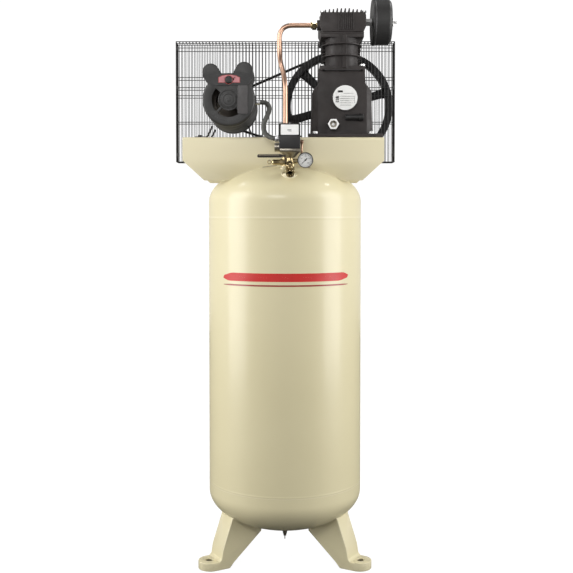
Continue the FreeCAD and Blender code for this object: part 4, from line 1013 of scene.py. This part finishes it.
def make_flywheel():
    low, high = corners("flywheel")
    radius = (high.z - low.z) / 2
    belt_y = (BELT_LOW.y + BELT_HIGH.y) / 2
    half_width = min(high.y - belt_y, 22.5)
    groove = (BELT_HIGH.y - BELT_LOW.y) / 2 + 0.3
    below_rim, groove_depth, rim_depth = 2, 8.4, 24
    first_spoke, spokes = 16.4, 6
    bed = radius - below_rim - groove_depth
    rim_inner = radius - rim_depth
    centre = at_depth(CRANK, belt_y)
    wheel = Shape()
    wheel.lathe(eased([
        (rim_inner, -half_width, 3), (radius - 1, -half_width, 2.5), (radius, -groove - 3, 2),
        (radius, -groove, 0.8), (bed, -groove + 1.5, 0.5), (bed, groove - 1.5, 0.5),
        (radius, groove, 0.8), (radius, groove + 3, 2), (radius - 1, half_width, 2.5),
        (rim_inner, half_width, 3),
        (rim_inner - 2, 0, 10),
    ], 1, 4), centre, BACK, 144)
    hub_low, hub_high = 136 + TANK_Y, 187 + TANK_Y
    shaft = 12.5
    wheel.lathe(eased([
        (shaft, hub_low - belt_y, 0.8), (31, hub_low - belt_y, 3), (34, -12, 3), (34, 12, 3),
        (31, hub_high - belt_y, 3), (shaft, hub_high - belt_y, 0.8),
    ], 1, 3), centre, BACK, 64)
    for number in range(spokes):
        turn = math.radians(first_spoke + 360 / spokes * number)
        out = facing(turn)
        across = Vector((-math.sin(turn), 0, math.cos(turn)))
        rings = []
        for step in range(9):
            share = step / 8
            reach = min(30 + (rim_inner - 27) * share, rim_inner + 4)
            flare = 1 + 0.28 * (2 * share - 1) ** 4
            wide, deep = 14.5 * flare, 8 * (1.1 - 0.2 * share)
            rings.append([
                centre + out * reach
                + across * (wide * math.copysign(abs(math.cos(a)) ** 0.55, math.cos(a)))
                + BACK * (deep * math.copysign(abs(math.sin(a)) ** 0.55, math.sin(a)))
                for a in circle(24)
            ])
        wheel.skin(rings)
    piece("wheel_cast", wheel, "flywheel_iron", "flywheel", body="crank", crease=45)

    low, high = corners("motor_pulley")
    reach = (high.z - low.z) / 2
    pulley = Shape()
    pulley.lathe(eased([
        (8, low.y - belt_y, 0.6), (22, low.y - belt_y, 1.2), (22, -groove - 5, 1),
        (reach - 2, -groove - 4, 1.5), (reach, -groove - 2, 0.8), (reach - 0.6, -groove, 0.4),
        (reach - 10.5, -groove + 1.4, 0.3),
        (reach - 10.5, groove - 1.4, 0.3), (reach - 0.6, groove, 0.4), (reach, groove + 2, 0.8),
        (reach - 2, groove + 3.2, 1.5), (22, groove + 4, 1), (8, groove + 4, 0.6),
    ], 1, 3), at_depth(MOTOR, belt_y), BACK, 80)
    piece("pulley_cast", pulley, "flywheel_iron", "motor_pulley", body="rotor")


def belt_path(inset):
    """Points round the loop, with the outward direction at each."""
    wheel, pulley = at_depth(CRANK, 0), at_depth(MOTOR, 0)
    wheel_radius = BELT_HIGH.x - CRANK.x - inset
    pulley_radius = MOTOR.x - BELT_LOW.x - inset
    along = wheel - pulley
    heading = math.atan2(along.z, along.x)
    opening = math.acos((pulley_radius - wheel_radius) / along.length)
    made = []
    for centre, radius, start, end, count in (
        (wheel, wheel_radius, heading + opening, heading - opening, 72),
        (pulley, pulley_radius, heading - opening, heading + opening - 2 * math.pi, 36),
    ):
        for step in range(count + 1):
            turn = start + (end - start) * step / count
            out = facing(turn)
            made.append((centre + out * radius, out))
    return made


def make_belt():
    belt_y = (BELT_LOW.y + BELT_HIGH.y) / 2
    half = (BELT_HIGH.y - BELT_LOW.y) / 2
    section = eased([(-half, 0), (half, 0), (half - 1.9, -8), (1.9 - half, -8)], 1, 3)
    rings = [
        [point + BACK * (belt_y + p.x) + out * p.y for p in section] for point, out in belt_path(0)
    ]
    piece("vee_belt", Shape().skin(rings, joined=True), "belt_rubber", "drive_belt")


def make_guard():
    rear_high = corners("guard_rear")[1]
    front_low, front_high = corners("guard_front")
    radius, upright, crossbar = 1.4, 1.4 * 0.82, 1.4 * 0.9
    pitch = 11.6
    left, right = front_low.x + radius, front_high.x - radius
    bottom, top = front_low.z + radius, front_high.z - radius
    front_y, rear_y = front_low.y + radius, rear_high.y - radius
    mid_y = front_high.y + 0.3 + radius
    count = round((right - left) / pitch)
    columns = [left + (right - left) * step / count for step in range(count + 1)]
    latch_row = bottom + 258
    rows = [bottom, bottom + 138, bottom + 230, latch_row, bottom + 293, bottom + 395, top]
    motor_hole, wheel_hole = 70, 88
    openings = ((MOTOR.x, MOTOR.z, motor_hole), (CRANK.x, CRANK.z, wheel_hole))

    def cuts_at(across, centres):
        """Where a wire at this place meets the round openings."""
        cuts = []
        for here, along, hole in centres:
            if abs(across - here) < hole:
                reach = math.sqrt(hole ** 2 - (across - here) ** 2)
                cuts.append((along - reach, along + reach))
        return cuts

    def runs(start, end, cuts):
        """A run with the stretches inside the round openings left out."""
        spans = [(start, end)]
        for cut_start, cut_end in cuts:
            kept = []
            for first, last in spans:
                if cut_end <= first or cut_start >= last:
                    kept.append((first, last))
                    continue
                if cut_start > first:
                    kept.append((first, cut_start))
                if cut_end < last:
                    kept.append((cut_end, last))
            spans = kept
        return spans

    panel = Shape()
    for x in columns:
        for first, last in runs(bottom, top, cuts_at(x, openings)):
            panel.rod(Vector((x, front_y, first)), Vector((x, front_y, last)), upright, 8)
    sideways = [(cz, cx, hole) for cx, cz, hole in openings]
    row_y = front_y + 0.3
    for z in rows:
        for first, last in runs(left, right, cuts_at(z, sideways)):
            panel.rod(Vector((first, row_y, z)), Vector((last, row_y, z)), crossbar, 8)
    for cx, cz, hole in openings:
        ring = [
            Vector((cx + hole * math.cos(a), front_y, cz + hole * math.sin(a)))
            for a in circle(96)
        ]
        panel.sweep(ring, radius, 10, joined=True)
    piece("guard_front_panel", panel, "guard_wire", "guard_front")

    cage = Shape()
    for x in columns:
        path = [(x, mid_y, bottom), (x, rear_y, bottom), (x, rear_y, top), (x, mid_y, top)]
        cage.sweep(bent(path, 7, 4), upright, 8)
    for z in rows:
        path = [(left, mid_y, z), (left, rear_y, z), (right, rear_y, z), (right, mid_y, z)]
        cage.sweep(bent(path, 7, 4), crossbar, 8)
    for y in (mid_y, (mid_y + rear_y) / 2):
        for z in (bottom, top):
            cage.rod(Vector((left, y, z)), Vector((right, y, z)), crossbar, 8)
    uprights = round((rear_y - mid_y) / pitch)
    for step in range(uprights):
        y = mid_y + (rear_y - mid_y) * step / uprights
        for x in (left, right):
            cage.rod(Vector((x, y, bottom)), Vector((x, y, top)), crossbar, 8)
    piece("guard_rear_cage", cage, "guard_wire", "guard_rear")

    clips = Shape()
    levels, sides = (latch_row, top - 24, bottom + 24), ((left, 4), (right, -4))
    for z, x, inward in ((z, *side) for z in levels for side in sides):
        near = (x - 5 + inward, front_y - 0.9, z - 7)
        clips.block(near, (x + 5 + inward, mid_y + 1.5, z + 7), 0.8, 1.5)
    piece("guard_clips", clips, "black_paint")


# ---------------------------------------------------------------- pipework and controls

def make_pipes():
    port_y, port_z = -60, 1764
    nut_z = 1352
    x, y = CHECK
    route = [
        at(95, port_y, port_z), at(-18, port_y, port_z), at(-18, port_y, 1655), at(x, y, 1575),
        at(x, y, nut_z),
    ]
    tube = Shape().sweep(bent(route, 44, 14), 7.9, 28)
    piece("delivery_pipe", tube, "copper", "discharge_tube")

    nuts = Shape()
    nuts.hexagon(30, 14, at(103, port_y, port_z), LEFT, bore=8, both=True, twist=0.2)
    nuts.tube(11, 8, 5, at(90, port_y, port_z), LEFT, 1.5)
    nuts.tube(9, 8, 12, at(114.6, port_y, port_z), LEFT, 0.4)
    nuts.hexagon(27, 16, at(x, y, nut_z), UP, bore=8, both=True)
    nuts.tube(10, 8, 4, at(x, y, nut_z + 15), UP, 1.2)
    piece("flare_nuts", nuts, "brass", "tube_fittings")

    valve = Shape()
    valve.disc(7, 12, at(x, y, 1290), edge=0.4)
    valve.hexagon(28, 22, at(x, y, 1300), both=True)
    valve.lathe(eased([
        (0, 0, 0), (11, 0), (11, 4), (10, 5), (10, 9), (11, 10), (11, 20), (9.6, 22), (9.6, 30.6),
        (0, 30.6, 0),
    ], 0.8, 2, False), at(x, y, 1321), UP, 40)
    valve.disc(5, 9, at(x + 11, y, 1320), RIGHT, 0.5)
    valve.hexagon(13, 6, at(x + 13, y, 1320), RIGHT, both=True)
    piece("non_return_valve", valve, "brass", "check_valve")


MANIFOLD = (16, -190)
OUTLET_ROOT = at(*MANIFOLD, 1305)
OUTLET_WAY, OUTLET_STEM = Vector((0, -0.839, -0.545)), Vector((0, -0.545, 0.839))
OUTLET_MOUTH = 64.1


def make_manifold():
    from_cad("manifold_machined", "manifold", "brass", 0.8, 2)
    collars = Shape()
    for height in (1284, 1290, 1311):
        collars.tube(12.9, 11, 3, at(*MANIFOLD, height), edge=1)
    collars.hexagon(28, 12, at(*MANIFOLD, 1293), both=True)
    for depth in (0.6, 3.2, 5.8, 8.4):
        crest = OUTLET_ROOT + OUTLET_WAY * (OUTLET_MOUTH - depth - 1.3)
        collars.tube(10.2, 9.1, 1.3, crest, OUTLET_WAY, 0.5)
    piece("manifold_collars", collars, "brass")
    from_cad("ball_valve_barrel", "ball_valve_body", "brass", 0.8, 2)
    way, stem = OUTLET_WAY, OUTLET_STEM
    hub = OUTLET_ROOT + way * 42.1 + stem * 18.3
    foot = Shape()
    foot.slab(rounded((-8, -21), (16, 7), 4), hub, LEFT, way, 2.5, 0.5)
    foot.hexagon(11, 5, hub + stem * 2.4, stem)
    foot.disc(2.95, 19, hub - stem * 14, stem, 0.3)
    piece("lever_plate", foot, "brass", body="outlet_lever")
    lever = Shape()
    lever.slab([(-21, 0), (-9, 0), (-9, 26.4), (-21, 26.4)], hub + LEFT * 13.5, way, stem, 2.5, 0.5)
    arm = rounded((13.5, -20.6), (60, -9.4), 2, 5)
    lever.slab(arm, hub + stem * 24, LEFT, way, 2.5, 1)
    sleeve = rounded((24, -22), (101.4, -8), 6.4, 6)
    lever.slab(sleeve, hub + stem * 22.2, LEFT, way, 5.8, 2)
    piece("valve_lever", lever, "vinyl", "ball_valve_lever", body="outlet_lever")
    # Painted highlight: a paler strip along the middle of the lever's sleeve.
    groove = rounded((34, -17.6), (97, -12.4), 2.4, 4)
    highlight_strip = Shape().slab(groove, hub + stem * 27.9, LEFT, way, 0.25, 0.05)
    piece("lever_highlight", highlight_strip, "painted_shade_and_highlight", body="outlet_lever")
    from_cad("relief_valve_turned", "relief_valve_body", "brass", 0.7, 2)
    from_cad("relief_pull", "relief_valve_ring", "brass", 0, body="relief_ring")


def make_gauge():
    low, high = corners("gauge_case")
    radius = (high.z - low.z) / 2
    centre = Vector((high.x - radius, 0, (low.z + high.z) / 2))
    depth = high.y - low.y
    case = Shape().lathe(eased([
        (0.0, 0, 0), (radius - 3, 0, 2), (radius - 1.2, 3, 1), (radius - 1.2, depth - 9, 1),
        (radius, depth - 11, 0.6), (radius, depth - 5.2, 1.4), (radius - 1.8, depth - 5, 0.6),
        (radius - 2.2, depth - 7, 0.4), (radius - 2.2, depth - 8, 0.2), (radius - 2.2, 3, 0),
        (0.0, 3, 0),
    ], 0.8, 3, False), at_depth(centre, high.y), FRONT, 96)
    case.disc(5, centre.x - radius - 38, Vector((40.2, OUTLET_ROOT.y, 1313)), RIGHT, 0.5)
    piece("gauge_shell", case, "black_paint", "gauge_case")
    face_y = corners("gauge_needle")[0].y + 2.2
    face = Shape().tube(radius - 2.4, 2.8, 1.2, at_depth(centre, face_y + 1.2), FRONT, 0.2, 96)
    piece("gauge_dial", face, "white_label")
    ticks = Shape()
    ink_y = face_y - 0.02
    zero, span, marks = 225, 270, 40  # degrees of the zero, degrees of the scale, its divisions
    for step in range(marks + 1):
        turn = math.radians(zero - span * step / marks)
        out = facing(turn)
        side = Vector((-math.sin(turn), 0, math.cos(turn)))
        major = step % 5 == 0
        first, last = radius - (8.5 if major else 6.2), radius - 4.2
        half = 0.4 if major else 0.18
        hub = at_depth(centre, ink_y)
        ring = [
            hub + out * first - side * half, hub + out * last - side * half,
            hub + out * last + side * half, hub + out * first + side * half,
        ]
        ticks.skin([ring, [p + FRONT * 0.15 for p in ring]])
    for number, label in enumerate(("0", "50", "100", "150", "200")):
        turn = math.radians(zero - span * number / 4)
        text = bpy.data.curves.new("dial_number", "FONT")
        text.body = label
        text.size = 4.6
        text.align_x = "CENTER"
        text.align_y = "CENTER"
        text.extrude = 0.06
        flat = as_mesh("dial_number", text)
        reach = radius - 12
        out = Vector((reach * math.cos(turn), 0, reach * math.sin(turn)))
        spot = at_depth(centre, ink_y - 0.1) + out
        flat.transform(Matrix.Translation(spot) @ Matrix.Rotation(math.pi / 2, 4, "X"))
        ticks.mesh.from_mesh(flat)
    piece("gauge_scale", ticks, "black_ink_and_shade")
    from_cad("gauge_pointer", "gauge_needle", "black_ink_and_shade", 0.1, 1, body="gauge_needle")
    lens = Shape().lathe(
        [(0.0, 0), (radius - 3, 0), (radius - 2.6, 0.8), (radius - 8, 1.3), (0.0, 1.5)],
        at_depth(centre, low.y + 6.8), FRONT, 96,
    )
    piece("gauge_lens", lens, "lens")


def make_switch():
    from_cad("switch_lid", "pressure_switch_cover", "black_plastic", 2.2, 3, 30)
    from_cad("switch_foot", "pressure_switch_base", "zinc", 1.2, 2)
    low, high = corners("pressure_switch_cover")
    slope_low = Vector((0, low.y, 1389))
    slope_high = Vector((0, at(0, -197, 0).y, high.z))
    rise = slope_high - slope_low
    middle_x = (low.x + high.x) / 2
    half = (high.x - low.x) / 2 - 5
    outline = rounded((-half, 5), (half, rise.length - 6), 3, 4)
    label = Shape().slab(outline, slope_low + RIGHT * middle_x, RIGHT, rise, 0.35, 0.1)
    piece("switch_label", label, "white_label")
    ink = Shape()
    for left, right, first, tall in ((-7, 5, 22, 3), (-4, 6, 18, 1.4)):
        bar = [(left, first), (right, first), (right, first + tall), (left, first + tall)]
        start = slope_low + RIGHT * middle_x + RIGHT.cross(rise).normalized() * 0.3
        ink.slab(bar, start, RIGHT, rise, 0.15, 0.02, 1)
    piece("switch_label_print", ink, "grey_ink")
    screw = Shape()
    screw.disc(4.4, 2.4, Vector((middle_x, (low.y + high.y) / 2, high.z - 2.6)), UP, 0.8)
    piece("switch_screw", screw, "bright_steel")

    low, high = corners("unloader_line")
    line = Shape()
    route = [
        at(53, -176, 1369), at(53, -171, 1343), at(52, -156, 1326), at(44, -141, 1320),
        at(21.1, -141, 1320),
    ]
    line.sweep(bent(route, 12, 8), 3, 14)
    line.disc(5, 10.8, at(48.1, -176, 1375), RIGHT, 1)
    line.hexagon(13, 6, at(49, -176, 1375), RIGHT, both=True)
    piece("unloader_pipe_run", line, "copper", "unloader_line")


def smooth_route(points):
    """Points along a NURBS line whose control points are the route."""
    curve = bpy.data.curves.new("route", "CURVE")
    curve.dimensions = "3D"
    curve.resolution_u = 24
    spline = curve.splines.new("NURBS")
    spline.points.add(len(points) - 1)
    for point, target in zip(points, spline.points):
        target.co = (*point, 1)
    spline.order_u = 3
    spline.use_endpoint_u = True
    return [vertex.co.copy() for vertex in as_mesh("route", curve).vertices]


def even_steps(points, gap):
    """The same line cut into even steps."""
    made = [points[0]]
    left_over = 0.0
    for first, last in zip(points, points[1:]):
        span = (last - first).length
        along = gap - left_over
        while along <= span:
            made.append(first.lerp(last, along / span))
            along += gap
        left_over = span - (along - gap)
    return made


def make_conduit():
    route = [
        at(-80, -120, 1506), at(-60, -122, 1507), at(-47, -128, 1486), at(-58, -140, 1457),
        at(-70, -155, 1430), at(-64, -172, 1400), at(-45, -184, 1387), at(-32, -188, 1384),
    ]
    radius, ripple, pitch = 7.5, 0.45, 3.6
    line = even_steps(smooth_route(route), pitch / 4)
    sleeve = Shape().sweep(line, lambda s: radius + ripple * math.cos(s * 2 * math.pi / pitch), 20)
    piece("conduit_flexible", sleeve, "grey_sleeve", "conduit")
    from_cad("conduit_ends", "conduit_fittings", "aluminium", 1.2, 2)


def dress_inside():
    for node, look in (
        ("crankshaft", "bright_steel"), ("piston_front", "aluminium"), ("piston_rear", "aluminium"),
        ("wrist_pin_front", "bright_steel"), ("wrist_pin_rear", "bright_steel"),
        ("connecting_rod_front", "aluminium"), ("connecting_rod_rear", "aluminium"),
        ("motor_stator", "core_steel"), ("motor_rotor", "core_steel"),
        ("ball_bearings", "bright_steel"), ("capacitors", "capacitor_can"),
        ("filter_element", "paper"),
    ):
        dress(node, look)


# ---------------------------------------------------------------- studio

def make_floor():
    mesh = bpy.data.meshes.new("studio_floor")
    reach = 6
    mesh.from_pydata([(-reach, -reach, 0), (reach, -reach, 0), (reach, reach, 0), (-reach, reach, 0)],
                     [], [(0, 1, 2, 3)])
    mesh.materials.append(floor_paper())
    floor = bpy.data.objects.new("studio_floor", mesh)
    bpy.context.scene.collection.objects.link(floor)


def softbox(name, place, target, width, height, power):
    light = bpy.data.lights.new(name, "AREA")
    light.shape = "RECTANGLE"
    light.size = width
    light.size_y = height
    light.energy = power
    item = bpy.data.objects.new(name, light)
    item.location = place
    item.rotation_mode = "QUATERNION"
    item.rotation_quaternion = (Vector(target) - Vector(place)).to_track_quat("-Z", "Y")
    item.visible_camera = False
    bpy.context.scene.collection.objects.link(item)


def make_studio():
    make_floor()
    world = bpy.data.worlds.new("studio")
    bpy.context.scene.world = world
    world.use_nodes = True
    tree = world.node_tree
    shade = tree.nodes["Background"]
    shade.inputs["Color"].default_value = (1.0, 0.99, 0.97, 1)
    sky = tree.nodes.new("ShaderNodeTexCoord").outputs["Generated"]
    split = tree.nodes.new("ShaderNodeSeparateXYZ")
    fade = tree.nodes.new("ShaderNodeMapRange")
    tree.links.new(sky, split.inputs[0])
    tree.links.new(split.outputs["Z"], fade.inputs["Value"])
    for key, value in (("From Min", 0.0), ("From Max", 0.9), ("To Min", 0.66), ("To Max", 0.10)):
        fade.inputs[key].default_value = value
    tree.links.new(fade.outputs[0], shade.inputs["Strength"])
    white = tree.nodes.new("ShaderNodeBackground")
    white.inputs["Color"].default_value = (1, 1, 1, 1)
    white.inputs["Strength"].default_value = 1.05
    mix = tree.nodes.new("ShaderNodeMixShader")
    seen = tree.nodes.new("ShaderNodeLightPath")
    tree.links.new(seen.outputs["Is Camera Ray"], mix.inputs[0])
    tree.links.new(shade.outputs[0], mix.inputs[1])
    tree.links.new(white.outputs[0], mix.inputs[2])
    tree.links.new(mix.outputs[0], tree.nodes["World Output"].inputs[0])

    for side, sign in (("left", -1), ("right", 1)):
        softbox(f"side_{side}", (sign * 2.57, -0.83, 1.6), (0, 0, 1.0), 1.6, 3.0, 71)
        softbox(f"top_{side}", (sign * 2.0, 1.0, 3.8), (0, 0, 1.15), 0.6, 0.6, 16)
    softbox("front_high", (-0.8, -3.4, 2.6), (0, 0, 1.3), 1.6, 0.8, 28)
    softbox("overhead", (0, 0.1, 4.2), (0, 0, 1.0), 0.5, 0.3, 9)
    bpy.context.scene.view_settings.view_transform = "Standard"


def make_camera():
    lens = bpy.data.cameras.new("front_view")
    lens.lens = 58.6
    lens.sensor_width = 36
    lens.shift_x = 0.0028
    lens.shift_y = -0.0703
    lens.clip_end = 100
    camera = bpy.data.objects.new("front_view", lens)
    camera.location = (0, -3.166, 1.139)
    camera.rotation_euler = (math.radians(90 - 1.828), 0, 0)
    bpy.context.scene.collection.objects.link(camera)
    bpy.context.scene.camera = camera


make_camera()
make_studio()
make_tank()
make_bosses()
make_decal()
make_legs()
make_drain()
make_plate()
make_pump()
make_filter()
make_motor()
make_flywheel()
make_belt()
make_guard()
make_pipes()
make_manifold()
make_gauge()
make_switch()
make_conduit()
dress_inside()
